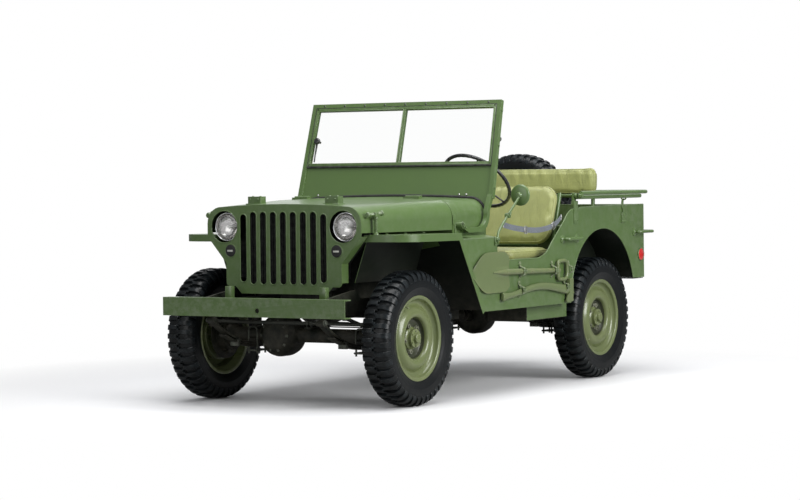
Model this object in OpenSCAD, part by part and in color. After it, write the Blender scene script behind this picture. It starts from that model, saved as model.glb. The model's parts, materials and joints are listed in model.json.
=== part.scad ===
// Quarter-ton four-wheel-drive open car, millimetres.
// The nose points to -Y, +X is the driver's side, +Z is up; the origin is on
// the ground, under the middle of the car.

/* [Wheels] */
// Distance between the front and the rear axle
wheelbase = 2032; // [2000:1:2060]
// Distance between the centre planes of the two tyres of an axle
track = 1225; // [1215:1:1240]
// Outer radius of a tyre
tyre_r = 351; // [345:1:355]
// Width of a tyre
tyre_w = 164; // [155:1:170]
// Radius of the rim flange that the tyre sits in
rim_r = 222; // [216:1:226]
// Distance from the front axle to the front face of the bumper
front_overhang = 526; // [520:1:560]

/* [Body] */
// Width of the body tub
body_w = 1440; // [1430:2:1460]
// Height of the top edge of the tub's sides
body_top = 1001; // [990:1:1015]
// Height of the lower edge of the tub's sides
body_bottom = 458; // [450:1:470]
// Height of the door sills
sill_z = 724; // [715:1:735]
// Thickness of the body's sheet metal
skin = 5; // [4:0.5:6]
// Top of the floor plate
floor_z = 562; // [560:1:566]
// Height of the hood's middle at the grille
hood_front_z = 1049; // [1040:1:1060]
// Height of the hood's middle at the cowl
hood_rear_z = 1074; // [1065:1:1085]
// Half width of the hood at the grille
hood_front_half = 484; // [478:1:490]
// Half width of the hood at the cowl
hood_rear_half = 598; // [590:1:602]
// Distance between the outer edges of the front fenders
fender_w = 1464; // [1450:2:1480]

/* [Windshield] */
// Height of the windshield's top edge
windshield_top = 1599; // [1580:1:1615]
// Backward lean of the windshield in degrees
windshield_lean = 15.4; // [13:0.2:17]

/* [Steering] */
// Radius of the steering wheel's rim
steering_wheel_r = 200; // [196:1:212]
// Distance of a kingpin from the middle of the car
kingpin_x = 517; // [514:1:520]
// Length of the arms that the tie rods push on
steering_arm = 150; // [146:1:154]

/* [Hidden] */

// Round surfaces are true circles
$fn = 48;

// Colours
olive = "#5E7347";
dark_olive = "#46573A";
black = "#26282A";
rubber = "#2E3134";
canvas = "#96965A";
steel = "#8A8D8F";
glass_blue = "#CFE0E4";
lamp_red = "#C22020";

// Wheels and axles
front_axle_y = -1098;
rear_axle_y = front_axle_y + wheelbase;
wheel_x = track / 2;
hub_z = tyre_r;
axle_r = 38;
diff_x = -170;
diff_r = 114;
ball_r = 70;
ball_cut = 12;
spring_pad_z = 313.6;

// Tub
side_x = body_w / 2;
inner_x = side_x - skin;
gap = 0.2;
floor_t = 4;
cowl_front_y = -618;
cowl_rear_y = -262;
door_front_y = -356;
rear_y = 1418;
belt_z = 850;
toe_y = -420;
toe_top_z = 700;
arch_y = 888;
arch_z = 474;
arch_r = 400;
tail_bottom = 568;
house_x = 500;
house_top = 893;
ledge_z = 872;

// Nose
grille_y = -1337;
grille_t = 4;
bumper_y = front_axle_y - front_overhang;
bumper_half = 566;
bumper_z = [475, 571];
hood_rear_y = cowl_front_y - 4;
hood_sheet = 4;
lamp_x = 374;
lamp_z = 930;
marker_x = 334;
marker_z = 805;
slot_count = 9;
slot_pitch = 63;
slot_w = 42;
slot_z = [627, 1010];

// Front fenders
fender_x = fender_w / 2;
fender_top = 888;
fender_rear_y = -750;
fender_front_y = -1271;
fender_corner = 150;
skirt_foot = [-500, 467];
flange = 38;

// Frame rails
rail_x = [326, 371];
rail_z = [465, 554];

// Windshield: hinge of its side arms, and the foot of its panel
shield_hinge = [-572, 922];
shield_foot_y = -250;
shield_foot_z = 1060;
shield_h = (windshield_top - shield_foot_z) / cos(windshield_lean);
shield_top_half = 608;
shield_foot_half = 628;
shield_tube = 13;
panel_h = 186;
panel_foot = 10;
// The panel's lower corner, which follows the cowl's shoulder
shield_wing = [
    [500, panel_foot + 2], [525, 6], [545, -1], [560, -9], [576, -23], [593, -48], [616, -48],
    [616, panel_foot + 2]
];

// Top bows
bow_pivot = [548, 1064];
bow_r = 11.5;
bow_disc_r = 15;

// Steering
steer_centre = [384, 15, 1156];
box_centre = [290, -690, 455];
column_r = 19;
column = (steer_centre - box_centre) / norm(steer_centre - box_centre);
tie_y = front_axle_y - steering_arm;
tie_z = 412;
crank_x = 100;
rod_pin_x = 13;
drag_arm = 130;
drag_x = crank_x + drag_arm;
pitman_y = -690;
pitman_top_z = 455;

// Seats
seat_x = 405;
seat_w = 470;
seat_front_y = -66;
seat_rear_y = 396;
seat_z = [706, 778];
back_lean = 20;
rear_seat_half = 490;

// Spare wheel and handles
spare_at = [-200, 1550, 967];
side_handle_z = 822;
corner_handle_z = 842;

// ---------------------------------------------------------------- helpers

function arc(c, r, a0, a1, n = 8) =
    [for (i = [0:n]) let (a = a0 + (a1 - a0) * i / n) c + r * [cos(a), sin(a)]];
function flip(points) = [for (i = [len(points) - 1:-1:0]) [-points[i][0], points[i][1]]];
function unit(v) = v / norm(v);
function left_of(v) = [-v[1], v[0]];
function heading(p, i) = unit(p[min(i + 1, len(p) - 1)] - p[min(i, len(p) - 2)]);
function mitre(p, i) =
    let (a = left_of(heading(p, max(i - 1, 0))), b = left_of(heading(p, i)), n = unit(a + b)) n / (n * a);
// Outline of a sheet of thickness t on the left of a path
function sheet(p, t) =
    concat(p, [for (i = [len(p) - 1:-1:0]) p[i] + t * mitre(p, i)]);

// Box between two opposite corners
module box(low, high) translate(low) cube(high - low);

// Outline in (y, z), made solid from x0 to x1
module slab_x(x0, x1, outline)
    translate([x0, 0, 0]) rotate([90, 0, 90]) linear_extrude(x1 - x0) polygon(outline);

// Outline in (x, z), made solid from y0 to y1
module slab_y(y0, y1, outline)
    translate([0, y1, 0]) rotate([90, 0, 0]) linear_extrude(y1 - y0) polygon(outline);

// Outline in (x, y), made solid from z0 to z1
module slab_z(z0, z1, outline) translate([0, 0, z0]) linear_extrude(z1 - z0) polygon(outline);

// Round rod from a to b
module rod(a, b, r) {
    d = b - a;
    translate(a) rotate([0, acos(d[2] / norm(d)), atan2(d[1], d[0])]) cylinder(h = norm(d), r = r);
}

// Round rod along a path of points, with a ball at each joint
module jointed_rod(path, r) {
    for (i = [0:len(path) - 2]) rod(path[i], path[i + 1], r);
    for (i = [1:len(path) - 2]) translate(path[i]) sphere(r = r * 1.03);
}

// Round tube along a path that turns square corners, bent to a radius at each
function bend_angle(a, b, c) = acos(unit(b - a) * unit(c - b));
function bend_reach(p, i, bend) =
    i == 0 || i == len(p) - 1 ? 0 : bend * tan(bend_angle(p[i - 1], p[i], p[i + 1]) / 2);

module bend_piece(a, b, c, bend, r) {
    turn = bend_angle(a, b, c);
    along = unit(b - a);
    start = b - along * bend * tan(turn / 2);
    centre = b + unit(unit(c - b) - along) * bend / cos(turn / 2);
    out = unit(start - centre);
    axis = cross(out, along);
    multmatrix([
        [out[0], along[0], axis[0], centre[0]], [out[1], along[1], axis[1], centre[1]],
        [out[2], along[2], axis[2], centre[2]], [0, 0, 0, 1]
    ]) rotate_extrude(angle = turn) translate([bend, 0]) circle(r = r);
}

module bent_rod(path, r, bend) {
    for (i = [0:len(path) - 2]) {
        along = unit(path[i + 1] - path[i]);
        rod(path[i] + along * bend_reach(path, i, bend),
            path[i + 1] - along * bend_reach(path, i + 1, bend), r);
    }
    for (i = [1:len(path) - 2]) bend_piece(path[i - 1], path[i], path[i + 1], bend, r);
}

module disc_x(x0, x1, y, z, r) translate([x0, y, z]) rotate([0, 90, 0]) cylinder(h = x1 - x0, r = r);
module disc_y(y0, y1, x, z, r) translate([x, y0, z]) rotate([-90, 0, 0]) cylinder(h = y1 - y0, r = r);
module both_sides() {
    children();
    mirror([1, 0, 0]) children();
}

// ---------------------------------------------------------------- chassis

module rail_cross(y0, y1) box([-rail_x[0] - 5, y0, rail_z[0] + 8], [rail_x[0] + 5, y1, rail_z[1] - 4]);

module frame() color(dark_olive) {
    both_sides() slab_x(rail_x[0], rail_x[1], [
        [bumper_y + 60, 480], [-1400, rail_z[0]], [1390, rail_z[0]], [1390, rail_z[1]],
        [-1340, rail_z[1]], [bumper_y + 60, 560]
    ]);
    rail_cross(-1480, -1440);
    both_sides() box([rail_x[0] - 24, -230, 392], [rail_x[0] + 6, -110, rail_z[0] + 2]);
    box([-rail_x[0], -230, 392], [rail_x[0], -110, 404]);
    rail_cross(420, 470);
    rail_cross(1340, 1390);
    both_sides() slab_x(rail_x[1] - 4, rail_x[1] + 13, [
        [bumper_y + 62, 486], [-1250, 470], [-1190, 556], [-1240, 604], [bumper_y + 62, 558]
    ]);
}

module front_bumper() color(olive) difference() {
    box([-bumper_half, bumper_y, bumper_z[0]], [bumper_half, bumper_y + 58, bumper_z[1]]);
    box([-bumper_half - 1, bumper_y + 6, bumper_z[0] + 6], [bumper_half + 1, bumper_y + 60, bumper_z[1] - 6]);
    disc_y(bumper_y - 1, bumper_y + 8, 32, 508, 13);
}

function leaf_points(y0, y1, z_mid, z_eye) =
    let (half = (y1 - y0) / 2, rise = z_eye - z_mid,
        r = (half * half + rise * rise) / (2 * rise), a = asin(half / r))
    arc([(y0 + y1) / 2, z_mid + r], r, -90 - a, -90 + a, 14);

module leaf_spring(y0, y1, x, z_mid) {
    slab_x(x - 22, x + 22, sheet(leaf_points(y0, y1, z_mid, 436), 9));
    slab_x(x - 21, x + 21, sheet(leaf_points(y0 + 90, y1 - 90, z_mid - 9, 436 - 78), 9));
    slab_x(x - 20, x + 20, sheet(leaf_points(y0 + 200, y1 - 200, z_mid - 18, z_mid + 16), 9));
    for (y = [y0, y1]) disc_x(x - 22, x + 22, y, 446, 18);
}

module suspension() {
    color(dark_olive) both_sides() {
        leaf_spring(-1500, -696, 341, 302);
        leaf_spring(532, 1336, 341, 302);
    }
    color(olive) both_sides() for (y = [front_axle_y + 80, rear_axle_y - 80]) {
        rod([398, y, 330], [398, y, 440], 26);
        rod([398, y, 436], [398, y, 548], 20);
        disc_x(372, 398, y, 536, 12);
        disc_x(364, 398, y, 340, 12);
    }
}

module lathe_y(x, y, z, outline) translate([x, y, z]) rotate([-90, 0, 0]) rotate_extrude() polygon(outline);

module diff_housing(y) lathe_y(diff_x, y, hub_z, [
    [0, -100], [60, -100], [86, -84], [diff_r - 6, -58], [diff_r, -34], [diff_r, 34], [diff_r - 6, 58],
    [86, 84], [60, 100], [0, 100]
]);

module front_axle() color(dark_olive) {
    disc_x(-kingpin_x + 40, kingpin_x - 40, front_axle_y, hub_z, axle_r);
    diff_housing(front_axle_y);
    disc_y(front_axle_y + 90, front_axle_y + 160, diff_x, hub_z + 6, 40);
    both_sides() intersection() {
        translate([kingpin_x, front_axle_y, hub_z]) sphere(r = ball_r);
        box([kingpin_x - 80, front_axle_y - 80, hub_z - 80],
            [kingpin_x - ball_cut, front_axle_y + 80, hub_z + 80]);
    }
    translate([crank_x, front_axle_y, hub_z]) cylinder(h = tie_z - 18 - hub_z, r = 24);
    both_sides() box([318, front_axle_y - 46, spring_pad_z], [364, front_axle_y + 46, 330]);
}

module rear_axle() color(dark_olive) {
    disc_x(-wheel_x + 70, wheel_x - 70, rear_axle_y, hub_z, axle_r);
    diff_housing(rear_axle_y);
    disc_y(rear_axle_y - 160, rear_axle_y - 90, diff_x, hub_z + 6, 40);
    both_sides() disc_x(wheel_x - 74, wheel_x - 66, rear_axle_y, hub_z, 136);
    both_sides() box([318, rear_axle_y - 46, spring_pad_z], [364, rear_axle_y + 46, 330]);
}

module engine() color(dark_olive) box([-165, -1130, 500], [165, -640, 930]);

module transmission() color(dark_olive) {
    box([-110, -636, 440], [110, -260, 552]);
    box([-250, -258, 406], [110, -70, 552]);
    disc_y(-272, -256, diff_x, 460, 36);
    disc_y(-72, -50, diff_x, 460, 36);
}

module shaft(y0, z0, y1, z1) {
    rod([diff_x, y0, z0], [diff_x, y1, z1], 23);
    for (end = [[y0, z0], [y1, z1]]) translate([diff_x, end[0], end[1]]) sphere(r = 38);
}

module propeller_shafts() color(dark_olive) {
    shaft(-316, 456, front_axle_y + 202, hub_z + 12);
    shaft(-6, 456, rear_axle_y - 202, hub_z + 12);
}

module exhaust() color(dark_olive) {
    jointed_rod([[-215, -760, 640], [-215, -700, 440], [-430, -560, 430], [-520, -330, 430]], 19);
    disc_y(-340, 130, -520, 430, 62);
    jointed_rod([[-520, 120, 430], [-520, 240, 430], [-700, 420, 424]], 17);
}

module fuel_tank() color(olive) {
    box([400, 90, 374], [650, 560, floor_z - floor_t - gap]);
    box([200, -30, floor_z + gap], [610, 350, 678]);
    translate([seat_x, 78, 677]) cylinder(h = 12, r = 40);
}

// ---------------------------------------------------------------- body tub

module floor() color(olive) difference() {
    union() {
        slab_x(-inner_x + gap, inner_x - gap, sheet([
            [rear_y - skin - gap, floor_z - floor_t], [toe_y, floor_z - floor_t],
            [cowl_front_y + 6, toe_top_z]
        ], -floor_t));
        slab_y(toe_y + 8, -110, sheet(concat(
            [[150, floor_z - 1]], arc([90, 640], 50, 0, 90),
            arc([-90, 640], 50, 90, 180), [[-150, floor_z - 1]]
        ), floor_t));
    }
    rod(box_centre, steer_centre, column_r + 8);
    both_sides() box([house_x - 4 - gap, 506 - gap, floor_z - 10], [side_x, rear_y, floor_z + 1]);
}

// Half of the tub's side outline: the front edge follows the fender's skirt,
// and the door opening runs down to the sill and up in an S-curve.
side_outline = concat(
    [[skirt_foot[0] + 14, body_bottom], [-728, belt_z], [door_front_y, belt_z]],
    arc([door_front_y + 58, sill_z + 58], 58, 180, 270, 5),
    arc([90, sill_z + 220], 220, 270, 318, 6),
    arc([548, 827], 164, 140, 96, 5),
    [[640, body_top - 5], [904, body_top], [rear_y, body_top + 3], [rear_y, tail_bottom]],
    arc([arch_y, arch_z], arch_r, 13.6, 182.3, 24),
    [[arch_y - arch_r, body_bottom]]
);

module body_side() color(olive) slab_x(inner_x, side_x, side_outline);
module body_side_left() body_side();
module body_side_right() mirror([1, 0, 0]) body_side();

module rear_panel() color(olive) box(
    [-inner_x + gap, rear_y - skin, tail_bottom], [inner_x - gap, rear_y, body_top]
);

module wheel_house() {
    edge = inner_x - gap;
    back = rear_y - skin - gap;
    box([house_x - 4, 506, floor_z + gap], [house_x, back, house_top]);
    box([house_x - 4, 506, house_top - 4], [edge, back, house_top]);
    box([house_x - 4, 506, floor_z + gap], [edge, 510, house_top]);
    box([house_x - 4, 1280, floor_z + gap], [edge, back, floor_z + 4]);
    slab_x(house_x - 1, edge, sheet(arc([arch_y, arch_z], arch_r + 1, 14, 166, 24), -4));
}

module wheel_houses() color(olive) both_sides() wheel_house();

// Outline in (x, z) of the hood's or the cowl's arch, from foot to foot
function arch_outline(half, foot, top, corner, crown) = concat(
    [[half, foot]],
    arc([half - corner, top - crown - corner], corner, 0, 80, 6),
    [for (i = [3:-1:-3]) let (x = (half - corner) * i / 4) [x, top - crown * pow(x / (half - corner), 2)]],
    arc([-half + corner, top - crown - corner], corner, 100, 180, 6),
    [[-half, foot]]
);
function hood_front(inset = 0) =
    arch_outline(hood_front_half - inset, 898, hood_front_z - inset, 88, 14);
function hood_rear(inset = 0) =
    arch_outline(hood_rear_half - inset, 898, hood_rear_z - inset, 96, 12);

module loft_y(y0, first, y1, last) hull() {
    slab_y(y0, y0 + 0.1, first);
    slab_y(y1 - 0.1, y1, last);
}

// Sloping ledge between the cowl's upright side and the wider tub
module cowl_ledge() slab_y(cowl_front_y, door_front_y + 4, [
    [595.5, ledge_z - 7], [600, ledge_z], [716, belt_z + 5.5], [716, belt_z + gap]
]);

module cowl() color(olive) difference() {
    union() {
        slab_y(cowl_front_y, cowl_rear_y,
            sheet(arch_outline(hood_rear_half, ledge_z - 9, hood_rear_z, 96, 12), 4));
        slab_y(cowl_front_y, cowl_front_y + 4,
            arch_outline(hood_rear_half - 2, ledge_z - 20, hood_rear_z - 2, 94, 12));
        both_sides() cowl_ledge();
        slab_y(cowl_front_y, cowl_front_y + 4, [
            [inner_x - gap, toe_top_z], [inner_x - gap, belt_z + 2], [595, ledge_z - 2],
            [-595, ledge_z - 2], [-inner_x + gap, belt_z + 2], [-inner_x + gap, toe_top_z]
        ]);
    }
    rod(box_centre, steer_centre, column_r + 8);
}

module dashboard() color(olive) slab_y(
    cowl_rear_y + gap, cowl_rear_y + 4, arch_outline(hood_rear_half - 8, 925, hood_rear_z - 10, 88, 12)
);

// ---------------------------------------------------------------- nose

fender_path = [[fender_front_y - 20, fender_top], [fender_rear_y, fender_top - 4], skirt_foot];

// Plan outline of a fender, drawn in by an inset; the inner edge follows the hood
function fender_plan(inset) = concat(
    [[hood_front_half - 26, fender_front_y + inset]],
    arc([fender_x - fender_corner, fender_front_y + fender_corner], fender_corner - inset, 270, 360, 8),
    [[fender_x - inset, -440], [380, -440], [380, fender_rear_y + 60],
        [hood_rear_half - 20, fender_rear_y + 40],
     [hood_rear_half - 36, fender_rear_y]]
);

module fender() {
    difference() {
        intersection() {
            slab_x(380, fender_x, sheet(fender_path, -flange));
            slab_z(440, 920, fender_plan(0));
        }
        intersection() {
            slab_x(379, fender_x + 1, sheet([for (p = fender_path) p + [-1, -4.3]], -flange - 20));
            slab_z(430, 930, concat(fender_plan(4), [[370, fender_front_y + 4]]));
        }
    }
    slab_y(-1262, -690, [[392, 640], [396, 640], [482, 886], [478, 886]]);
}

module front_fenders() color(olive) both_sides() fender();

grille_outline = let (half = concat(
        arc([364 - 20, 619 + 20], 20, 270, 360, 4),
        [[364, 740], [hood_front_half, 878]],
        arc([hood_front_half - 88, hood_front_z - 14 - 88], 88, 0, 80, 6),
        [for (i = [3:-1:1]) let (x = 396 * i / 4) [x, hood_front_z - 14 * pow(x / 396, 2)]]
    ))
    concat([[267, 580]], [[306, 619]], half, [[0, hood_front_z]], flip(half), [[-306, 619], [-267, 580]]);

// Outline of one upright slot with round ends
function slot_outline(x, z0, z1) = concat(
    arc([x, z1 - slot_w / 2], slot_w / 2, 0, 180, 10), arc([x, z0 + slot_w / 2], slot_w / 2, 180, 360, 10)
);

module grille() color(olive) {
    difference() {
        slab_y(grille_y, grille_y + grille_t, grille_outline);
        for (i = [0:slot_count - 1]) {
            step = i - (slot_count - 1) / 2;
            short = abs(step) == (slot_count - 1) / 2 ? 12 : 0;
            slab_y(grille_y - 1, grille_y + grille_t + 1,
                slot_outline(step * slot_pitch, slot_z[0] + short, slot_z[1] - short));
        }
        both_sides() disc_y(grille_y - 1, grille_y + grille_t + 1, lamp_x, lamp_z, 84);
        both_sides() disc_y(grille_y - 1, grille_y + grille_t + 1, marker_x, marker_z, 33);
    }
    both_sides() slab_y(grille_y, grille_y + 62,
        [[360, 640], [364, 640], [364, 740], [484, 878], [480, 880], [360, 742]]);
}

module radiator() color(black) {
    box([-262, -1296, 600], [262, -1236, 1012]);
    disc_y(-1234, -1200, 0, 820, 180);
}

module lamps() {
    color(steel) both_sides() {
        disc_y(grille_y + 14, grille_y + 60, lamp_x, lamp_z, 76);
        translate([lamp_x, grille_y + 58, lamp_z]) sphere(r = 60);
    }
    color(black) both_sides() disc_y(grille_y - 6, grille_y + 40, marker_x, marker_z, 31);
    color(lamp_red) both_sides() {
        disc_x(side_x + gap, side_x + 12, 1370, 706, 39);
        disc_y(rear_y + gap, rear_y + 46, 560, 760, 34);
        disc_y(rear_y + gap, rear_y + 12, 430, 640, 38);
    }
}

module hood() color(olive) {
    difference() {
        loft_y(grille_y + 5, hood_front(), hood_rear_y, hood_rear());
        loft_y(grille_y + 4, concat([[480, 880]], hood_front(hood_sheet), [[-480, 880]]),
            hood_rear_y + 1, concat([[594, 880]], hood_rear(hood_sheet), [[-594, 880]]));
    }
    both_sides() box([204, -1246, 1040], [284, -1196, 1088]);
    both_sides() {
        box([310, hood_rear_y - 30, hood_rear_z - 14], [410, hood_rear_y, hood_rear_z + 2]);
        disc_x(310, 410, hood_rear_y + 1, hood_rear_z + 3, 6);
    }
}

module hood_latches() color(olive) both_sides() {
    rod([522, -1255, 892], [522, -1255, 1000], 6);
    rod([522, -1304, 990], [522, -1212, 1002], 9);
    translate([522, -1255, 888.4]) cylinder(h = 8, r = 16);
}

// ---------------------------------------------------------------- windshield

// Places its children in the windshield's own plane: x across, y to the back, z up from its foot
module in_shield() translate([0, shield_foot_y, shield_foot_z]) rotate([-windshield_lean, 0, 0]) children();

function shield_half(z) = shield_foot_half + (shield_top_half - shield_foot_half) * z / shield_h;

// Side arm in (y, z): down from the windshield's foot and forward to its hinge
shield_arm = concat(
    [[shield_foot_y - 12, shield_foot_z + 24], [-308, 1000]],
    arc([-386, 986], 78, -8, -82, 6), [[-500, 906], [shield_hinge[0], shield_hinge[1] + shield_tube]]
);

module windshield_frame() color(olive) {
    in_shield() {
        difference() {
            slab_y(-9, 8, [
                [shield_foot_half, panel_foot], [shield_top_half, shield_h - 6],
                [-shield_top_half, shield_h - 6], [-shield_foot_half, panel_foot]
            ]);
            slab_y(0, 9, [
                [shield_half(0) - 14, -1], [shield_half(panel_h) - 14, panel_h],
                [-shield_half(panel_h) + 14, panel_h], [-shield_half(0) + 14, -1]
            ]);
            slab_y(-10, -4, [
                [shield_half(0) - 14, -1], [shield_half(panel_h) - 14, panel_h],
                [-shield_half(panel_h) + 14, panel_h], [-shield_half(0) + 14, -1]
            ]);
            both_sides() slab_y(-10, 10, [
                [11, panel_h + 24], [shield_half(panel_h) - 34, panel_h + 24],
                [shield_half(shield_h) - 34, shield_h - 44], [11, shield_h - 44]
            ]);
        }
        both_sides() slab_y(-shield_tube, shield_tube, [
            [shield_foot_half - shield_tube, 0], [shield_foot_half + shield_tube, 0],
            [shield_top_half + shield_tube, shield_h], [shield_top_half - shield_tube, shield_h]
        ]);
        box([-shield_top_half, -shield_tube, shield_h - 2 * shield_tube],
            [shield_top_half, shield_tube, shield_h]);
        both_sides() slab_y(-4, 0, shield_wing);
    }
    both_sides() slab_x(610, 636, sheet(shield_arm, 26));
    both_sides() disc_x(602.5, 637, shield_hinge[0], shield_hinge[1], 18);
}

module windshield_glass() color(glass_blue) in_shield() both_sides() slab_y(-3, 1, [
    [11.5, panel_h + 24.5], [shield_half(panel_h) - 34.5, panel_h + 24.5],
    [shield_half(shield_h) - 34.5, shield_h - 44.5], [11.5, shield_h - 44.5]
]);

// ---------------------------------------------------------------- top bows

module bow(x, z, back) {
    y = bow_pivot[0];
    bent_rod([[x, y, z], [x, back, z], [-x, back, z], [-x, y, z]], bow_r, 90);
    both_sides() disc_x(x - 7, x + 7, y, bow_pivot[1], bow_disc_r);
}

module front_bow() color(olive) {
    bow(754, bow_pivot[1] + 16, 1449);
    both_sides() slab_x(749, 759, [
        [bow_pivot[0] - 12, bow_pivot[1] - 14], [bow_pivot[0] + 12, bow_pivot[1] - 14],
        [bow_pivot[0] + 30, bow_pivot[1] + 16], [bow_pivot[0] - 10, bow_pivot[1] + 20]
    ]);
}

module rear_bow() color(olive) bow(728, bow_pivot[1] - 8, 1421);

// ---------------------------------------------------------------- seats

module seat_tilt(y, z, lean) translate([0, y, z]) rotate([-lean, 0, 0]) children();

module front_seat_frame() {
    half = seat_w / 2 - 14;
    translate([seat_x, 0, 0]) {
        both_sides() jointed_rod([
            [half, seat_front_y + 20, floor_z + gap], [half, seat_front_y + 20, 692],
            [half, seat_rear_y + 20, 692], [half, seat_rear_y + 142, 1080]
        ], 11);
        both_sides() rod([half, seat_rear_y - 30, 692], [half, seat_rear_y - 30, floor_z + gap], 11);
        rod([-half, seat_rear_y + 134, 1056], [half, seat_rear_y + 134, 1056], 7);
        rod([-half, seat_front_y + 80, 692], [half, seat_front_y + 80, 692], 8);
    }
}

module rear_seat_frame() {
    both_sides() {
        jointed_rod([
            [440, 860, floor_z + gap], [440, 860, 762], [440, 1262, 762], [440, 1300, 1010], [440, 1311, 1200]
        ], 12);
        rod([440, 1200, 762], [440, 1200, floor_z + gap], 12);
    }
    rod([-440, 930, 762], [440, 930, 762], 8);
    rod([-440, 1309.8, 1180], [440, 1309.8, 1180], 8);
}

module seat_frames() color(olive) {
    front_seat_frame();
    mirror([1, 0, 0]) front_seat_frame();
    rear_seat_frame();
}

module cushion_block(size, corner) hull() for (x = [-1, 1], y = [-1, 1])
    translate([x * (size[0] / 2 - corner), y * (size[1] / 2 - corner), 0])
        cylinder(h = size[2], r = corner, $fn = 32);

module front_seat_cushions() color(canvas) both_sides()
    translate([seat_x, (seat_front_y + seat_rear_y) / 2, seat_z[0]])
    cushion_block([seat_w, seat_rear_y - seat_front_y, seat_z[1] - seat_z[0]], 40);

module back_pad(width, height, thickness, corner)
    rotate([90, 0, 0]) translate([0, height / 2, 0]) cushion_block([width, height, thickness], corner);

module front_seat_backs() color(canvas) both_sides()
    translate([seat_x, 0, 0]) seat_tilt(seat_rear_y + 18, 782, back_lean) back_pad(seat_w, 350, 62, 60);

module rear_seat_cushion() color(canvas) translate([0, 1040, 776])
    cushion_block([2 * rear_seat_half, 400, 84], 45);

module rear_seat_back() color(canvas) seat_tilt(1284, 1066, 3) back_pad(2 * rear_seat_half, 158, 70, 40);

// ---------------------------------------------------------------- rear end

// Wheel on the X axis, its outer side to +X: drop-centre rim, bowl-shaped disc, hub and nuts
rim_outline = [
    [-64, rim_r - 2], [-60, rim_r - 2], [-58, 205], [-44, 203], [-30, 184], [22, 184], [40, 203], [58, 205],
    [60, rim_r - 2], [64, rim_r - 2], [64, 202], [44, 198], [28, 179], [30, 158], [38, 142], [34, 124],
    [16, 104], [12, 90], [12, 40], [6, 40], [6, 92], [10, 108], [28, 128], [31, 142], [22, 158],
    [12, 179], [-32, 179], [-48, 198], [-64, 202]
];

module about_x() rotate([0, 90, 0]) children();
module lathe_x(outline) about_x() rotate_extrude() polygon([for (p = outline) [p[1], p[0]]]);

module rim_body() {
    lathe_x(rim_outline);
    disc_x(-16, 54, 0, 0, 44);
    disc_x(53, 66, 0, 0, 38);
    for (i = [0:4]) rotate([72 * i, 0, 0]) disc_x(11, 26, 0, 70, 11);
}

tyre_outline = concat(
    [[-62, rim_r + 1], [-57.6, rim_r + 1], [-57.6, 206], [57.6, 206], [57.6, rim_r + 1], [62, rim_r + 1]],
    arc([42, 286], 40, -50, 40, 6), [[66, tyre_r - 14], [52, tyre_r - 3], [30, tyre_r], [-30, tyre_r],
    [-52, tyre_r - 3], [-66, tyre_r - 14]], arc([-42, 286], 40, 140, 230, 6)
);

module tyre_body() lathe_x(tyre_outline);

module spare_place() translate(spare_at) rotate([0, 0, 90]) children();
module spare_rim() color(olive) spare_place() rim_body();
module spare_tyre() color(rubber) spare_place() tyre_body();

module spare_carrier() color(olive) translate([spare_at[0], 0, spare_at[2]]) {
    disc_y(rear_y + gap, spare_at[1] - 17, 0, 0, 60);
    box([-90, rear_y + gap, -190], [90, rear_y + 8, 30]);
    box([-30, rear_y + gap, -300], [30, rear_y + 10, -60]);
}

module rear_bumperettes() color(olive) both_sides()
    slab_z(462, 556, sheet(
        [[rail_x[0], 1391], [rail_x[0], 1470], [352, 1500], [470, 1500], [560, 1440]], -8
    ));

module tow_hook() color(dark_olive) difference() {
    union() {
        box([-70, 1391, 472], [70, 1400, 546]);
        disc_y(1399, 1450, 0, 508, 26);
        translate([0, 1480, 490]) cylinder(h = 36, r = 46);
    }
    translate([0, 1480, 480]) cylinder(h = 60, r = 23);
}

// ---------------------------------------------------------------- fittings

module shovel() {
    slab_x(725, 733, [
        [-562, 580], [-520, 553], [-330, 553], [-246, 600], [-246, 730], [-300, 772], [-600, 772], [-640, 740]
    ]);
    rod([737, -262, 662], [737, 300, 650], 15);
    bent_rod([
        [737, 296, 650], [737, 296, 706], [737, 410, 706],
        [737, 410, 594], [737, 296, 594], [737, 296, 651]
    ], 11, 30);
}

module axe() {
    slab_x(725, 749, sheet(concat(
        [[-330, 517]], [for (i = [0:8]) [-290 + 80 * i, 534 - 18 * cos(45 * i)]], [[446, 530]]
    ), 26));
    slab_x(724, 750, [[418, 470], [462, 470], [472, 500], [466, 596], [424, 596], [416, 520]]);
}

module pioneer_tools() color(olive) {
    shovel();
    axe();
}

module side_handle() {
    x = [side_x + gap, side_x + 42];
    y = [388, 562];
    z = side_handle_z;
    bent_rod([[x[0], y[0], z], [x[1], y[0], z], [x[1], y[1], z], [x[0], y[1], z]], 9.5, 20);
}

module corner_handle() {
    z = corner_handle_z;
    bent_rod([
        [side_x + gap, 1290, z], [side_x + 44, 1290, z], [side_x + 44, rear_y + 46, z],
        [630, rear_y + 46, z], [630, rear_y + gap, z]
    ], 9, 24);
}

module bow_bracket() {
    box([side_x + gap, 524, 906], [side_x + 5, 572, 1036]);
    box([706, 524, 1010], [side_x + 5, 572, 1036]);
    box([706, 530, 1010], [716, 566, 1082]);
}

module grab_handles() color(olive) both_sides() {
    side_handle();
    corner_handle();
    bow_bracket();
    box([side_x + gap, 1118, 900], [side_x + 6, 1170, 960]);
}

module door_straps() color("#6A7076") both_sides() slab_x(706, 709, sheet([
    [-254, 902], [-60, 872], [130, 862], [300, 884], [392, 926]
], 32));

module mirror_head() translate([742, -137, 1077]) rotate([90, 0, 0]) cylinder(h = 16, r = 59, center = true);

module driver_mirror() color(olive) {
    mirror_head();
    jointed_rod([[728, -368, 840], [730, -352, 884], [741, -142, 1066]], 7);
    box([side_x + gap, -386, 812], [side_x + 12, -352, 852]);
}

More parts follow.
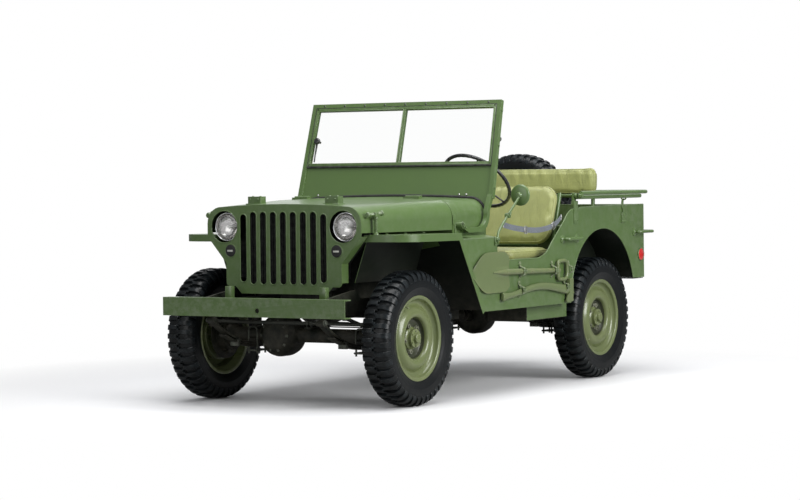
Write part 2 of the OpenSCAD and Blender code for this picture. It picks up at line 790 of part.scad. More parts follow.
module steering_column() color(olive) {
    rod(box_centre, steer_centre - 28 * column, column_r);
    difference() {
        box([252, -742, 420], [314, -640, 500]);
        disc_x(251, 260, pitman_y, pitman_top_z, 14);
    }
    box([300, cowl_rear_y + 5, 880], [352, cowl_rear_y + 45, 924]);
}

module lever(foot, knob, r) {
    rod(foot, knob, r);
    translate(knob) sphere(r = 2.6 * r);
}

module control_levers() color(black) {
    lever([0, -300, 694.5], [30, -230, 960], 8);
    for (x = [-62, -112]) lever([x, -220, 700], [x, -196, 860], 6);
    for (x = [312, 420]) box([x - 28, -500, 690], [x + 28, -490, 740]);
    box([200, -480, 640], [230, -470, 720]);
}

// ---------------------------------------------------------------- steering

module steering_wheel() color(black) translate(steer_centre)
        rotate([0, acos(column[2]), atan2(column[1], column[0])]) {
    rotate_extrude() translate([steering_wheel_r, 0]) circle(r = 11);
    translate([0, 0, -24]) cylinder(h = 40, r = 30);
    for (a = [0, 120, 240]) rotate([0, 0, a]) rod([20, 0, 0], [steering_wheel_r - 4, 0, 0], 7);
}

module knuckle_body() {
    c = [kingpin_x, front_axle_y, hub_z];
    difference() {
        disc_x(kingpin_x - 20, kingpin_x + 26, front_axle_y, hub_z, 92);
        translate(c) sphere(r = ball_r + 4);
        disc_x(kingpin_x - 30, kingpin_x, front_axle_y, hub_z, ball_r + 3);
    }
    disc_x(kingpin_x + 25, kingpin_x + 30, front_axle_y, hub_z, 136);
    disc_x(kingpin_x + 29, kingpin_x + 60, front_axle_y, hub_z, 34);
    translate(c + [0, 0, 85]) cylinder(h = 18, r = 26);
    translate(c + [0, 0, -103]) cylinder(h = 18, r = 26);
    hull() {
        translate(c + [0, -77, 46]) cylinder(h = 12, r = 18, $fn = 24);
        translate([kingpin_x + rod_pin_x, tie_y, hub_z + 46]) cylinder(h = 12, r = 17, $fn = 24);
    }
    translate([kingpin_x + rod_pin_x, tie_y, hub_z + 46]) cylinder(h = 17, r = 9);
}

module knuckle_left() color(dark_olive) knuckle_body();
module knuckle_right() color(dark_olive) mirror([1, 0, 0]) knuckle_body();

module bell_crank() color(dark_olive) {
    translate([crank_x, front_axle_y, tie_z - 17.5]) cylinder(h = 34, r = 22);
    hull() {
        translate([crank_x, front_axle_y, tie_z - 16]) cylinder(h = 10, r = 20, $fn = 24);
        translate([crank_x, tie_y, tie_z - 16]) cylinder(h = 10, r = 26, $fn = 24);
    }
    hull() {
        translate([crank_x, front_axle_y, tie_z + 4]) cylinder(h = 10, r = 20, $fn = 24);
        translate([drag_x, front_axle_y, tie_z + 4]) cylinder(h = 10, r = 15, $fn = 24);
    }
}

module tie_rod(x_in) {
    z = hub_z + 74;
    x_out = kingpin_x + rod_pin_x;
    rod([x_in, tie_y, z], [x_out, tie_y, z], 10);
    for (x = [x_in, x_out]) translate([x, tie_y, z - 9]) cylinder(h = 20, r = 12.5);
    translate([x_in, tie_y, z - 18.5]) cylinder(h = 15, r = 8);
}

module tie_rod_left() color(olive) tie_rod(crank_x + rod_pin_x);
module tie_rod_right() color(olive) mirror([1, 0, 0]) tie_rod(rod_pin_x - crank_x);

module pitman_arm() color(dark_olive) {
    disc_x(236, 259.5, pitman_y, pitman_top_z, 13);
    hull() {
        disc_x(236, 246, pitman_y, pitman_top_z, 22, $fn = 24);
        disc_x(236, 246, pitman_y, pitman_top_z - drag_arm, 15, $fn = 24);
    }
}

module drag_link() color(olive) {
    low = [226, pitman_y, pitman_top_z - drag_arm];
    rod(low, [drag_x - 4, front_axle_y, tie_z + 34], 10);
    disc_x(214, 235.5, low[1], low[2], 15);
    translate([drag_x - 4, front_axle_y, tie_z + 21]) cylinder(h = 26, r = 17);
}

// ---------------------------------------------------------------- wheels

module wheel_place(y, outward) translate([outward * wheel_x, y, hub_z]) rotate([0, 0, outward > 0 ? 0 : 180])
    children();

module rolling_rim() {
    rim_body();
    lathe_x([[-34, 141], [8, 141], [8, 44], [-10, 44], [-10, 133], [-34, 133]]);
}

module rim_front_left() color(olive) wheel_place(front_axle_y, 1) rolling_rim();
module rim_front_right() color(olive) wheel_place(front_axle_y, -1) rolling_rim();
module rim_rear_left() color(olive) wheel_place(rear_axle_y, 1) rolling_rim();
module rim_rear_right() color(olive) wheel_place(rear_axle_y, -1) rolling_rim();
module tyre_front_left() color(rubber) wheel_place(front_axle_y, 1) tyre_body();
module tyre_front_right() color(rubber) wheel_place(front_axle_y, -1) tyre_body();
module tyre_rear_left() color(rubber) wheel_place(rear_axle_y, 1) tyre_body();
module tyre_rear_right() color(rubber) wheel_place(rear_axle_y, -1) tyre_body();

// ---------------------------------------------------------------- nodes

frame();
front_bumper();
floor();
cowl();
dashboard();
body_side_left();
body_side_right();
rear_panel();
wheel_houses();
front_fenders();
grille();
radiator();
lamps();
engine();
transmission();
front_axle();
rear_axle();
suspension();
propeller_shafts();
exhaust();
fuel_tank();
seat_frames();
front_seat_cushions();
front_seat_backs();
rear_seat_cushion();
rear_seat_back();
spare_rim();
spare_tyre();
spare_carrier();
rear_bumperettes();
tow_hook();
pioneer_tools();
grab_handles();
door_straps();
driver_mirror();
steering_column();
control_levers();
hood();
hood_latches();
windshield_frame();
windshield_glass();
front_bow();
rear_bow();
steering_wheel();
knuckle_left();
knuckle_right();
bell_crank();
tie_rod_left();
tie_rod_right();
pitman_arm();
drag_link();
rim_front_left();
rim_front_right();
rim_rear_left();
rim_rear_right();
tyre_front_left();
tyre_front_right();
tyre_rear_left();
tyre_rear_right();
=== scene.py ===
"""Looks of an open quarter-ton army car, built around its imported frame. Lengths are in metres."""

import json
import logging
from dataclasses import dataclass, field
from enum import Enum
from math import atan2, ceil, copysign, cos, exp, hypot, pi, radians, sin, tau
from typing import Callable, Iterable, Sequence

import bmesh
import bpy
from mathutils import Matrix, Vector

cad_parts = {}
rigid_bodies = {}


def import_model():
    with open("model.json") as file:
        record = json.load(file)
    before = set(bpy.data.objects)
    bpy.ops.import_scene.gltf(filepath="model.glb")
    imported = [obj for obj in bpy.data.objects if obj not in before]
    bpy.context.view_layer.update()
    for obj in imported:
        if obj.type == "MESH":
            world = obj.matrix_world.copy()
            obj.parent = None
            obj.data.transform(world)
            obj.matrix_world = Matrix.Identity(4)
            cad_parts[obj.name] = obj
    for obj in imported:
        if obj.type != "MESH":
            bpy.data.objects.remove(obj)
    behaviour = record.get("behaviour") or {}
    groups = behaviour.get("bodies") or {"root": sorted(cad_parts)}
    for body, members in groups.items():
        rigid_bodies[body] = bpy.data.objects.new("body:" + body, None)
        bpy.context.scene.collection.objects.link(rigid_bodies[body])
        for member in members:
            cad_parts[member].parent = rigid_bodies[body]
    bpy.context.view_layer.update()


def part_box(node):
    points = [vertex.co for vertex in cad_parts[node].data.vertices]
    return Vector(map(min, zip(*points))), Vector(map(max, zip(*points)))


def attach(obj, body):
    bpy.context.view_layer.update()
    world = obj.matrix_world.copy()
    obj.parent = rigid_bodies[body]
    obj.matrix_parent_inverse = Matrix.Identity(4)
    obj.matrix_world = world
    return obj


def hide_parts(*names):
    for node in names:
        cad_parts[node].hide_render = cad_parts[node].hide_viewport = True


log = logging.getLogger("army_car")

Point = tuple[float, float, float]
Colour = tuple[float, float, float]
Outline = Sequence[tuple[float, float]]
Piece = bpy.types.Object
Socket = bpy.types.NodeSocket

X_AXIS = Vector((1, 0, 0))
Y_AXIS = Vector((0, 1, 0))
Z_AXIS = Vector((0, 0, 1))
WELD = 2e-5
CHASSIS = "chassis"
SIDES = (1, -1)
WHITE = (1.0, 1.0, 1.0)


# ------------------------------------------------------------------ moves of the bench


def deselect() -> None:
    """Leave nothing selected, in object mode."""
    if bpy.context.mode != "OBJECT":
        bpy.ops.object.mode_set(mode="OBJECT")
    bpy.ops.object.select_all(action="DESELECT")


def pick(piece: Piece) -> Piece:
    """Select one piece alone and make it the active one.

    Args:
        piece: The piece to work on.

    Returns:
        The same piece.
    """
    deselect()
    piece.select_set(True)
    bpy.context.view_layer.objects.active = piece
    return piece


def settle(piece: Piece, name: str) -> Piece:
    """Name a new piece and put its place into its mesh.

    Args:
        piece: The piece that has just been added.
        name: The name it keeps.

    Returns:
        The same piece, unturned and unscaled at the origin.
    """
    pick(piece)
    piece.name = name
    bpy.ops.object.transform_apply(location=True, rotation=True, scale=True)
    return piece


def edit(piece: Piece) -> None:
    """Open a piece in edit mode with everything selected."""
    pick(piece)
    bpy.ops.object.mode_set(mode="EDIT")
    bpy.ops.mesh.select_mode(type="VERT")
    bpy.ops.mesh.select_all(action="SELECT")


def close_edit(outwards: bool = False, weld: bool = False) -> None:
    """Go back to object mode.

    Args:
        outwards: Whether the faces are first turned outwards.
        weld: Whether corners that meet are merged before that.
    """
    if outwards:
        bpy.ops.mesh.select_all(action="SELECT")
        if weld:
            bpy.ops.mesh.remove_doubles(threshold=WELD)
        bpy.ops.mesh.normals_make_consistent(inside=False)
    bpy.ops.object.mode_set(mode="OBJECT")


def choose(piece: Piece, what: str, test: Callable[[Vector, Vector], bool]) -> None:
    """Select the open piece's faces, edges or corners that pass a test.

    Args:
        piece: The piece that is open in edit mode.
        what: "FACE", "EDGE" or "VERT".
        test: Takes the element's middle and its direction, and says if it is wanted.
    """
    bpy.ops.mesh.select_all(action="DESELECT")
    bpy.ops.mesh.select_mode(type=what)
    mesh = bmesh.from_edit_mesh(piece.data)
    if what == "FACE":
        for face in mesh.faces:
            face.select_set(test(face.calc_center_median(), face.normal))
    elif what == "EDGE":
        for edge in mesh.edges:
            first, last = edge.verts
            edge.select_set(test((first.co + last.co) / 2, (last.co - first.co).normalized()))
    else:
        for corner in mesh.verts:
            corner.select_set(test(corner.co, corner.normal))
    bmesh.update_edit_mesh(piece.data)


def modify(piece: Piece, kind: str, **settings: object) -> Piece:
    """Add one modifier and apply it.

    Args:
        piece: The piece to change.
        kind: The modifier's type, such as "BEVEL".
        **settings: The modifier's own settings.

    Returns:
        The same piece.
    """
    pick(piece)
    modifier = piece.modifiers.new(kind.title(), kind)
    for key, value in settings.items():
        setattr(modifier, key, value)
    bpy.ops.object.modifier_apply(modifier=modifier.name)
    return piece


def soften(piece: Piece, width: float, segments: int = 2, above: float = 35.0) -> Piece:
    """Round a piece's sharp edges.

    Args:
        piece: The piece to change.
        width: How far the rounding reaches from the edge.
        segments: How many faces cross it.
        above: The least angle, in degrees, of an edge that counts as sharp.

    Returns:
        The same piece.
    """
    return modify(piece, "BEVEL", width=width, segments=segments, limit_method="ANGLE", angle_limit=radians(above),
        use_clamp_overlap=True)


def smooth(piece: Piece, angle: float = 35.0) -> Piece:
    """Shade a piece smooth up to an angle in degrees."""
    pick(piece)
    bpy.ops.object.shade_smooth_by_angle(angle=radians(angle))
    return piece


def turn_to(direction: Vector) -> tuple[float, float, float]:
    """The Euler turn that brings the Z axis to a direction."""
    return tuple(Vector(direction).to_track_quat("Z", "Y").to_euler())


def block(name: str, low: Point, high: Point, rounding: float = 0.0, segments: int = 2) -> Piece:
    """A rectangular piece with rounded edges.

    Args:
        name: The piece's name.
        low: Its lowest corner.
        high: Its highest corner.
        rounding: Radius of its edges, or 0 for sharp ones.
        segments: How many faces round an edge.

    Returns:
        The new piece.
    """
    deselect()
    middle = [(a + b) / 2 for a, b in zip(low, high)]
    size = [abs(b - a) for a, b in zip(low, high)]
    bpy.ops.mesh.primitive_cube_add(size=1, location=middle, scale=size)
    piece = settle(bpy.context.object, name)
    if rounding:
        edit(piece)
        bpy.ops.mesh.bevel(offset=rounding, segments=segments, affect="EDGES")
        close_edit()
    return smooth(piece)


def drum(name: str, start: Point, end: Point, radius: float, sides: int = 32, rounding: float = 0.0,
        tip: float | None = None) -> Piece:
    """A round piece between two points.

    Args:
        name: The piece's name.
        start: The middle of its first end.
        end: The middle of its last end.
        radius: Its radius at the first end.
        sides: How many faces go round it.
        rounding: Radius of its rims, or 0 for sharp ones.
        tip: Its radius at the last end, where that is another.

    Returns:
        The new piece.
    """
    deselect()
    a, b = Vector(start), Vector(end)
    bpy.ops.mesh.primitive_cone_add(vertices=sides, radius1=radius, radius2=radius if tip is None else tip,
        depth=(b - a).length, location=(a + b) / 2, rotation=turn_to(b - a))
    piece = settle(bpy.context.object, name)
    if rounding:
        axis = (b - a).normalized()
        edit(piece)
        choose(piece, "EDGE", lambda middle, way: abs(way.dot(axis)) < 0.3)
        bpy.ops.mesh.bevel(offset=rounding, segments=2, affect="EDGES")
        close_edit()
    return smooth(piece)


def draw_out(corners: Sequence[Vector]) -> Piece:
    """Draw a line corner by corner, and leave it open in edit mode with all of it selected.

    Args:
        corners: The line's corners.

    Returns:
        The new piece.
    """
    deselect()
    bpy.ops.mesh.primitive_plane_add(size=0.001)
    piece = bpy.context.object
    edit(piece)
    bpy.ops.mesh.merge(type="CENTER")
    bpy.ops.transform.translate(value=corners[0])
    for before, after in zip(corners, corners[1:]):
        bpy.ops.mesh.extrude_region_move(TRANSFORM_OT_translate={"value": after - before})
    bpy.ops.mesh.select_all(action="SELECT")
    return piece


def lathe(name: str, outline: Outline, centre: Point, axis: Vector = X_AXIS, steps: int = 64) -> Piece:
    """A turned piece: an outline drawn out corner by corner and spun round an axis.

    Args:
        name: The piece's name.
        outline: Its corners as (distance along the axis, radius).
        centre: The point of the axis that the distances start from.
        axis: The axis, X, Y or Z.
        steps: How many faces go round it.

    Returns:
        The new piece, its faces pointing outwards.
    """
    across = Z_AXIS if abs(axis.z) < 0.5 else X_AXIS
    piece = draw_out([Vector(axis) * along + across * radius for along, radius in outline])
    bpy.ops.mesh.spin(steps=steps, angle=tau, center=(0, 0, 0), axis=axis)
    close_edit(outwards=True, weld=True)
    piece.location = centre
    return smooth(settle(piece, name), 32)


def arc(centre: tuple[float, float], radius: float, first: float, last: float, count: int = 8) -> list[tuple[float,
        float]]:
    """Points along an arc, with its angles in degrees."""
    angles = [radians(first + (last - first) * i / count) for i in range(count + 1)]
    return [(centre[0] + radius * cos(a), centre[1] + radius * sin(a)) for a in angles]


def rounded(points: Sequence[Point], bend: float, count: int = 6) -> list[Vector]:
    """A path whose corners are rounded.

    Args:
        points: The path's corners.
        bend: How far before and after a corner its rounding reaches.
        count: How many steps a rounding takes.

    Returns:
        The points of the rounded path.
    """
    path = [Vector(p) for p in points]
    result = [path[0]]
    for before, corner, after in zip(path, path[1:], path[2:]):
        reach = min(bend, (corner - before).length * 0.49, (after - corner).length * 0.49)
        start = corner + (before - corner).normalized() * reach
        end = corner + (after - corner).normalized() * reach
        for i in range(count + 1):
            t = i / count
            result.append(start * (1 - t) ** 2 + corner * 2 * t * (1 - t) + end * t * t)
    return result + [path[-1]]


def tube(name: str, points: Sequence[Point], radius: float, bend: float = 0.0, closed: bool = False,
        sides: int = 4) -> Piece:
    """A round bar or pipe along a path.

    Args:
        name: The piece's name.
        points: The path's corners.
        radius: The bar's radius.
        bend: How far the rounding of a corner reaches.
        closed: Whether the path ends where it starts.
        sides: How fine its round section is.

    Returns:
        The new piece, as a mesh.
    """
    deselect()
    path = rounded(points, bend) if bend else [Vector(p) for p in points]
    bpy.ops.curve.primitive_nurbs_path_add()
    piece = bpy.context.object
    piece.location = (0, 0, 0)
    line = piece.data
    line.splines.clear()
    spline = line.splines.new("POLY")
    spline.points.add(len(path) - 1)
    for knot, place in zip(spline.points, path):
        knot.co = (*place, 1)
    spline.use_cyclic_u = closed
    line.dimensions = "3D"
    line.bevel_depth = radius
    line.bevel_resolution = sides
    line.use_fill_caps = not closed
    pick(piece)
    bpy.ops.object.convert(target="MESH")
    return smooth(settle(bpy.context.object, name), 50)


def join(name: str, pieces: Iterable[Piece]) -> Piece:
    """Make one mesh of several pieces.

    Args:
        name: The joined piece's name.
        pieces: The pieces, which are used up.

    Returns:
        The joined piece.
    """
    pieces = list(pieces)
    deselect()
    for piece in pieces:
        piece.select_set(True)
    bpy.context.view_layer.objects.active = pieces[0]
    if len(pieces) > 1:
        bpy.ops.object.join()
    pieces[0].name = name
    return pieces[0]


def clone(piece: Piece, name: str, place: Matrix | None = None) -> Piece:
    """A copy with its own mesh.

    Args:
        piece: The piece to copy.
        name: The copy's name.
        place: Where it goes, or None to leave it where the first one is.

    Returns:
        The copy.
    """
    copy = piece.copy()
    copy.data = piece.data.copy()
    copy.name = name
    for key in list(copy.keys()):
        del copy[key]
    copy.parent = None
    bpy.context.scene.collection.objects.link(copy)
    if place is not None:
        copy.data.transform(place)
        if place.determinant() < 0:
            copy.data.flip_normals()
    return copy


def mirrored(piece: Piece, name: str) -> Piece:
    """A copy on the car's other side."""
    return clone(piece, name, Matrix.Scale(-1, 4, X_AXIS))


def both_sides(name: str, piece: Piece) -> Piece:
    """One mesh of a piece and its mirror image."""
    return join(name, [piece, mirrored(piece, name + "_other")])


def discard(piece: Piece) -> None:
    """Remove a pattern piece that only served to be copied."""
    bpy.data.objects.remove(piece)


def panel(node: str, name: str, width: float = 0.0015, segments: int = 2, above: float = 35.0) -> Piece:
    """A welded copy of a CAD node with softened edges.

    Args:
        node: The node that is copied.
        name: The copy's name.
        width: Reach of the rounding of its edges, or 0 for none.
        segments: How many faces cross a rounding.
        above: The least angle of an edge that is rounded.

    Returns:
        The copy, which stands for the node.
    """
    piece = clone(bpy.data.objects[node], name)
    edit(piece)
    bpy.ops.mesh.remove_doubles(threshold=WELD)
    bpy.ops.mesh.dissolve_limited(angle_limit=radians(0.6))
    close_edit()
    if width:
        soften(piece, width, segments, above)
    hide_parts(node)
    smooth(piece, 32)
    return modify(piece, "WEIGHTED_NORMAL", keep_sharp=True)


def cut_out(piece: Piece, name: str, test: Callable[[Vector, Vector], bool]) -> Piece:
    """Part the faces that pass a test from a piece, so that they can be painted apart.

    Args:
        piece: The piece that loses the faces.
        name: The name of the new piece.
        test: Takes a face's middle and its direction, and says if it is wanted.

    Returns:
        The new piece.
    """
    edit(piece)
    choose(piece, "FACE", test)
    bpy.ops.mesh.separate(type="SELECTED")
    close_edit()
    part = next(other for other in bpy.context.selected_objects if other is not piece)
    part.name = part.data.name = name
    return part


def under_fender(middle: Vector, way: Vector) -> bool:
    """Whether a fender's face looks into the wheel arch or the engine bay."""
    side = copysign(1, middle.x)
    skirt = middle.y > -0.8 and way.y < -0.5
    top = way.z < -0.5 and middle.z > 0.5
    valance = abs(middle.x) < 0.5 and middle.z < 0.884 and abs(way.x) > 0.3
    edge = abs(middle.x) > 0.72 and way.x * side < -0.5
    return skirt or top or valance or edge


def faces_the_road(middle: Vector, way: Vector) -> bool:
    """Whether a face looks forwards or down."""
    return way.y < -0.3 or way.z < -0.3


def in_rear_arch(middle: Vector, way: Vector) -> bool:
    """Whether a wheel house's face looks at the rear wheel."""
    side = copysign(1, middle.x)
    inward = (middle.y - 0.888) * way.y + (middle.z - 0.474) * way.z < -0.05
    return inward or way.x * side > 0.5


# ------------------------------------------------------------------ finishes


class NodeSheet:
    """Adds shader nodes to a tree and wires them."""

    def __init__(self, tree: bpy.types.NodeTree) -> None:
        """Start on a tree, which is emptied."""
        self.tree = tree
        tree.nodes.clear()

    def add(self, kind: str, inputs: dict[str | int, object] | None = None, **settings: object) -> bpy.types.Node:
        """Add a node.

        Args:
            kind: The node's type, without its "ShaderNode" prefix.
            inputs: A value or an output socket for each named input.
            **settings: The node's own settings.

        Returns:
            The node.
        """
        node = self.tree.nodes.new("ShaderNode" + kind if not kind.startswith("Node") else kind)
        for key, value in settings.items():
            setattr(node, key, value)
        for key, value in (inputs or {}).items():
            if isinstance(value, Socket):
                self.tree.links.new(value, node.inputs[key])
            else:
                node.inputs[key].default_value = value
        return node

    def math(self, operation: str, first: object, second: object = 0.0) -> Socket:
        """The output of a Math node."""
        return self.add("Math", {0: first, 1: second}, operation=operation).outputs[0]

    def mix(self, share: object, first: object, second: object) -> Socket:
        """The output of a node that mixes two colours."""
        return self.add("Mix", {0: share, 6: first, 7: second}, data_type="RGBA").outputs[2]

    def ramp(self, value: Socket, low: object, high: float) -> Socket:
        """A value stretched so that low becomes 0 and high becomes 1."""
        return self.add("MapRange", {"Value": value, "From Min": low, "From Max": high}).outputs[0]

    def place(self) -> Socket:
        """The point of the piece that is shaded, in its own coordinates."""
        return self.add("TexCoord").outputs["Object"]

    def noise(self, place: Socket, scale: object, detail: float = 2.0, rough: float = 0.5,
            distortion: float = 0.0) -> Socket:
        """The value of a Noise Texture node."""
        return self.add("TexNoise", {"Vector": place, "Scale": scale, "Detail": detail, "Roughness": rough,
            "Distortion": distortion}).outputs[0]

    def seen(self) -> Socket:
        """Whether a ray comes from the camera, straight or through glass."""
        ray = self.add("LightPath")
        return self.math("MAXIMUM", ray.outputs["Is Camera Ray"], ray.outputs["Is Transmission Ray"])

    def blend(self, share: Socket, first: bpy.types.Node, second: bpy.types.Node) -> bpy.types.Node:
        """A node that mixes two shaders."""
        return self.add("MixShader", {0: share, 1: first.outputs[0], 2: second.outputs[0]})

    def surface(self, shader: bpy.types.Node, kind: str = "Material") -> None:
        """Wire a shader to the tree's output node."""
        self.add("Output" + kind, {"Surface": shader.outputs[0]})

    def take(self, label: str) -> Socket:
        """One of a group's inputs."""
        return self.tree.nodes[0].outputs[label]

    def give(self, **results: Socket) -> bpy.types.NodeTree:
        """Wire a group's results to its output node and hand back its tree."""
        for label, socket in results.items():
            self.tree.links.new(socket, self.tree.nodes[1].inputs[label])
        return self.tree

    def tint(self, second: str, mask: Socket) -> bpy.types.NodeTree:
        """End a group that lays its second colour over the first one where a mask says so."""
        share = self.math("MULTIPLY", mask, self.take("Amount"))
        return self.give(Colour=self.mix(share, self.take("Colour"), self.take(second)), Mask=share)


def new_material(name: str) -> tuple[bpy.types.Material, NodeSheet]:
    """A new material and the empty sheet of its nodes."""
    material = bpy.data.materials.new(name)
    material.use_nodes = True
    return material, NodeSheet(material.node_tree)


def new_group(name: str, takes: dict[str, float | Colour], gives: Sequence[str] = ("Colour", "Mask")) -> NodeSheet:
    """Start a shader node group.

    Args:
        name: The group's name.
        takes: The first value of each input, a number or a colour.
        gives: The names of its outputs. "Colour" is a colour, and the others are numbers.

    Returns:
        The sheet of its tree, with its Group Input and Group Output nodes.
    """
    tree = bpy.data.node_groups.new(name, "ShaderNodeTree")
    kinds = {True: "NodeSocketFloat", False: "NodeSocketColor"}
    for label, value in takes.items():
        plain = isinstance(value, float)
        socket = tree.interface.new_socket(name=label, in_out="INPUT", socket_type=kinds[plain])
        socket.default_value = value if plain else (*value, 1)
    for label in gives:
        tree.interface.new_socket(name=label, in_out="OUTPUT", socket_type=kinds[label != "Colour"])
    sheet = NodeSheet(tree)
    sheet.add("NodeGroupInput")
    sheet.add("NodeGroupOutput")
    return sheet


@dataclass
class Effects:
    """The surface effects that several finishes share, each a node group built once."""

    grain: bpy.types.NodeTree = field(init=False)
    tone: bpy.types.NodeTree = field(init=False)
    wear: bpy.types.NodeTree = field(init=False)
    dust: bpy.types.NodeTree = field(init=False)
    weave: bpy.types.NodeTree = field(init=False)

    def __post_init__(self) -> None:
        """Build every group."""
        self.grain = self._grain()
        self.tone = self._tone()
        self.wear = self._wear()
        self.dust = self._dust()
        self.weave = self._weave()

    def _grain(self) -> bpy.types.NodeTree:
        """Fine unevenness of a sprayed or moulded surface, as a height."""
        sheet = new_group("fine_grain", {"Scale": 400.0, "Amount": 0.2}, ("Height", "Mask"))
        place = sheet.place()
        speckle = sheet.noise(place, sheet.take("Scale"), 3.0)
        wave = sheet.noise(place, 9.0)
        fine = sheet.math("MULTIPLY", speckle, sheet.take("Amount"))
        return sheet.give(Height=sheet.math("ADD", fine, sheet.math("MULTIPLY", wave, 0.5)), Mask=speckle)

    def _tone(self) -> bpy.types.NodeTree:
        """Broad, soft differences of colour and gloss over a surface."""
        sheet = new_group("patchy_tone", {"Colour": WHITE, "Dark": (0, 0, 0), "Scale": 3.0, "Amount": 0.3})
        mask = sheet.ramp(sheet.noise(sheet.place(), sheet.take("Scale"), 5.0, 0.6), 0.38, 0.68)
        share = sheet.math("MULTIPLY", mask, sheet.take("Amount"))
        return sheet.give(Colour=sheet.mix(share, sheet.take("Colour"), sheet.take("Dark")), Mask=mask)

    def _wear(self) -> bpy.types.NodeTree:
        """Paint rubbed thin along edges and corners."""
        sheet = new_group("edge_wear", {"Colour": WHITE, "Worn": (0.3, 0.3, 0.3), "Amount": 0.4})
        edge = sheet.ramp(sheet.add("NewGeometry").outputs["Pointiness"], 0.515, 0.6)
        broken = sheet.ramp(sheet.noise(sheet.place(), 24.0, 6.0, 0.7), 0.42, 0.62)
        return sheet.tint("Worn", sheet.math("MULTIPLY", edge, broken))

    def _dust(self) -> bpy.types.NodeTree:
        """Dust that settles on what faces up and road dirt that is thrown up from below."""
        sheet = new_group("road_dust", {"Colour": WHITE, "Dust": (0.25, 0.22, 0.17), "Amount": 0.2, "Height": 0.6})
        place = sheet.place()
        level = sheet.add("SeparateXYZ", {0: place}).outputs["Z"]
        up = sheet.add("SeparateXYZ", {0: sheet.add("NewGeometry").outputs["Normal"]}).outputs["Z"]
        lying = sheet.math("MULTIPLY", sheet.ramp(up, 0.3, 1.0), 0.25)
        thick = sheet.math("ADD", sheet.ramp(level, sheet.take("Height"), 0.0), lying)
        patch = sheet.ramp(sheet.noise(place, 14.0, 7.0, 0.65), 0.35, 0.75)
        return sheet.tint("Dust", sheet.math("MULTIPLY", thick, patch))

    def _weave(self) -> bpy.types.NodeTree:
        """Crossing threads of a plain weave, as a height."""
        sheet = new_group("plain_weave", {"Scale": 500.0}, ("Height",))
        inputs = {"Vector": sheet.place(), "Scale": sheet.take("Scale"), "Distortion": 0.4}
        x, y, z = (sheet.add("TexWave", inputs, bands_direction=axis).outputs["Fac"] for axis in "XYZ")
        return sheet.give(Height=sheet.math("ADD", sheet.math("ADD", x, y), z))


@dataclass(frozen=True)
class Paint:
    """Enamel, bare metal, rubber or plastic: one hard finish with its wear and dirt."""

    name: str
    slot: str
    colour: Colour
    dark: Colour
    rough: float
    metal: float = 0.0
    gloss_coat: float = 0.0
    worn: Colour = (0.3, 0.33, 0.26)
    wear: float = 0.3
    dust: float = 0.15
    dust_height: float = 0.7
    shine: float = 0.5
    grain: float = 0.2
    grain_scale: float = 500.0
    bump: float = 0.04
    patchiness: float = 0.5
    patch_rough: float = 0.1
    dust_rough: float = 0.5
    coat_rough: float = 0.12

    def material(self, effects: Effects) -> bpy.types.Material:
        """Build the material.

        Args:
            effects: The shared node groups.

        Returns:
            The new material.
        """
        material, sheet = new_material(self.name)
        tone = sheet.add("Group", {"Colour": (*self.colour, 1), "Dark": (*self.dark, 1), "Amount": self.patchiness},
            node_tree=effects.tone)
        wear = sheet.add("Group", {"Colour": tone.outputs["Colour"], "Worn": (*self.worn, 1), "Amount": self.wear},
            node_tree=effects.wear)
        dust = sheet.add("Group", {"Colour": wear.outputs["Colour"], "Amount": self.dust, "Height": self.dust_height},
            node_tree=effects.dust)
        grain = sheet.add("Group", {"Scale": self.grain_scale, "Amount": self.grain}, node_tree=effects.grain)
        bump = sheet.add("Bump", {"Strength": 1.0, "Distance": self.bump * 0.01, "Height": grain.outputs["Height"]})
        rough = sheet.math("ADD", sheet.math("MULTIPLY", tone.outputs["Mask"], self.patch_rough), self.rough)
        rough = sheet.math("ADD", rough, sheet.math("MULTIPLY", dust.outputs["Mask"], self.dust_rough))
        sheet.surface(sheet.add("BsdfPrincipled", {"Base Color": dust.outputs["Colour"], "Roughness": rough,
            "Metallic": self.metal, "Specular IOR Level": self.shine, "Coat Weight": self.gloss_coat,
            "Coat Roughness": self.coat_rough, "Normal": bump.outputs[0]}))
        return material


@dataclass(frozen=True)
class Cloth:
    """Woven cotton, coated or bare."""

    name: str
    slot: str
    colour: Colour
    dark: Colour
    rough: float
    sheen: float
    thread_scale: float
    coat: float = 0.0
    creases: float = 0.0

    def material(self, effects: Effects) -> bpy.types.Material:
        """Build the material.

        Args:
            effects: The shared node groups.

        Returns:
            The new material.
        """
        material, sheet = new_material(self.name)
        tone = sheet.add("Group", {"Colour": (*self.colour, 1), "Dark": (*self.dark, 1), "Scale": 7.0, "Amount": 0.6},
            node_tree=effects.tone)
        weave = sheet.add("Group", {"Scale": self.thread_scale}, node_tree=effects.weave)
        stretched = sheet.add("Mapping", {"Vector": sheet.place(), "Scale": (14.0, 5.0, 4.0)}).outputs[0]
        folds = sheet.noise(stretched, 1.0, 4.0, distortion=0.8)
        fine = sheet.add("Bump", {"Strength": 0.35, "Distance": 0.0006, "Height": weave.outputs["Height"]})
        crease = sheet.add("Bump", {"Strength": self.creases, "Distance": 0.02, "Height": folds,
            "Normal": fine.outputs[0]})
        rough = sheet.math("ADD", sheet.math("MULTIPLY", tone.outputs["Mask"], 0.15), self.rough)
        sheet.surface(sheet.add("BsdfPrincipled", {"Base Color": tone.outputs["Colour"], "Roughness": rough,
            "Sheen Weight": self.sheen, "Coat Weight": self.coat, "Coat Roughness": 0.35,
            "Normal": crease.outputs[0]}))
        return material


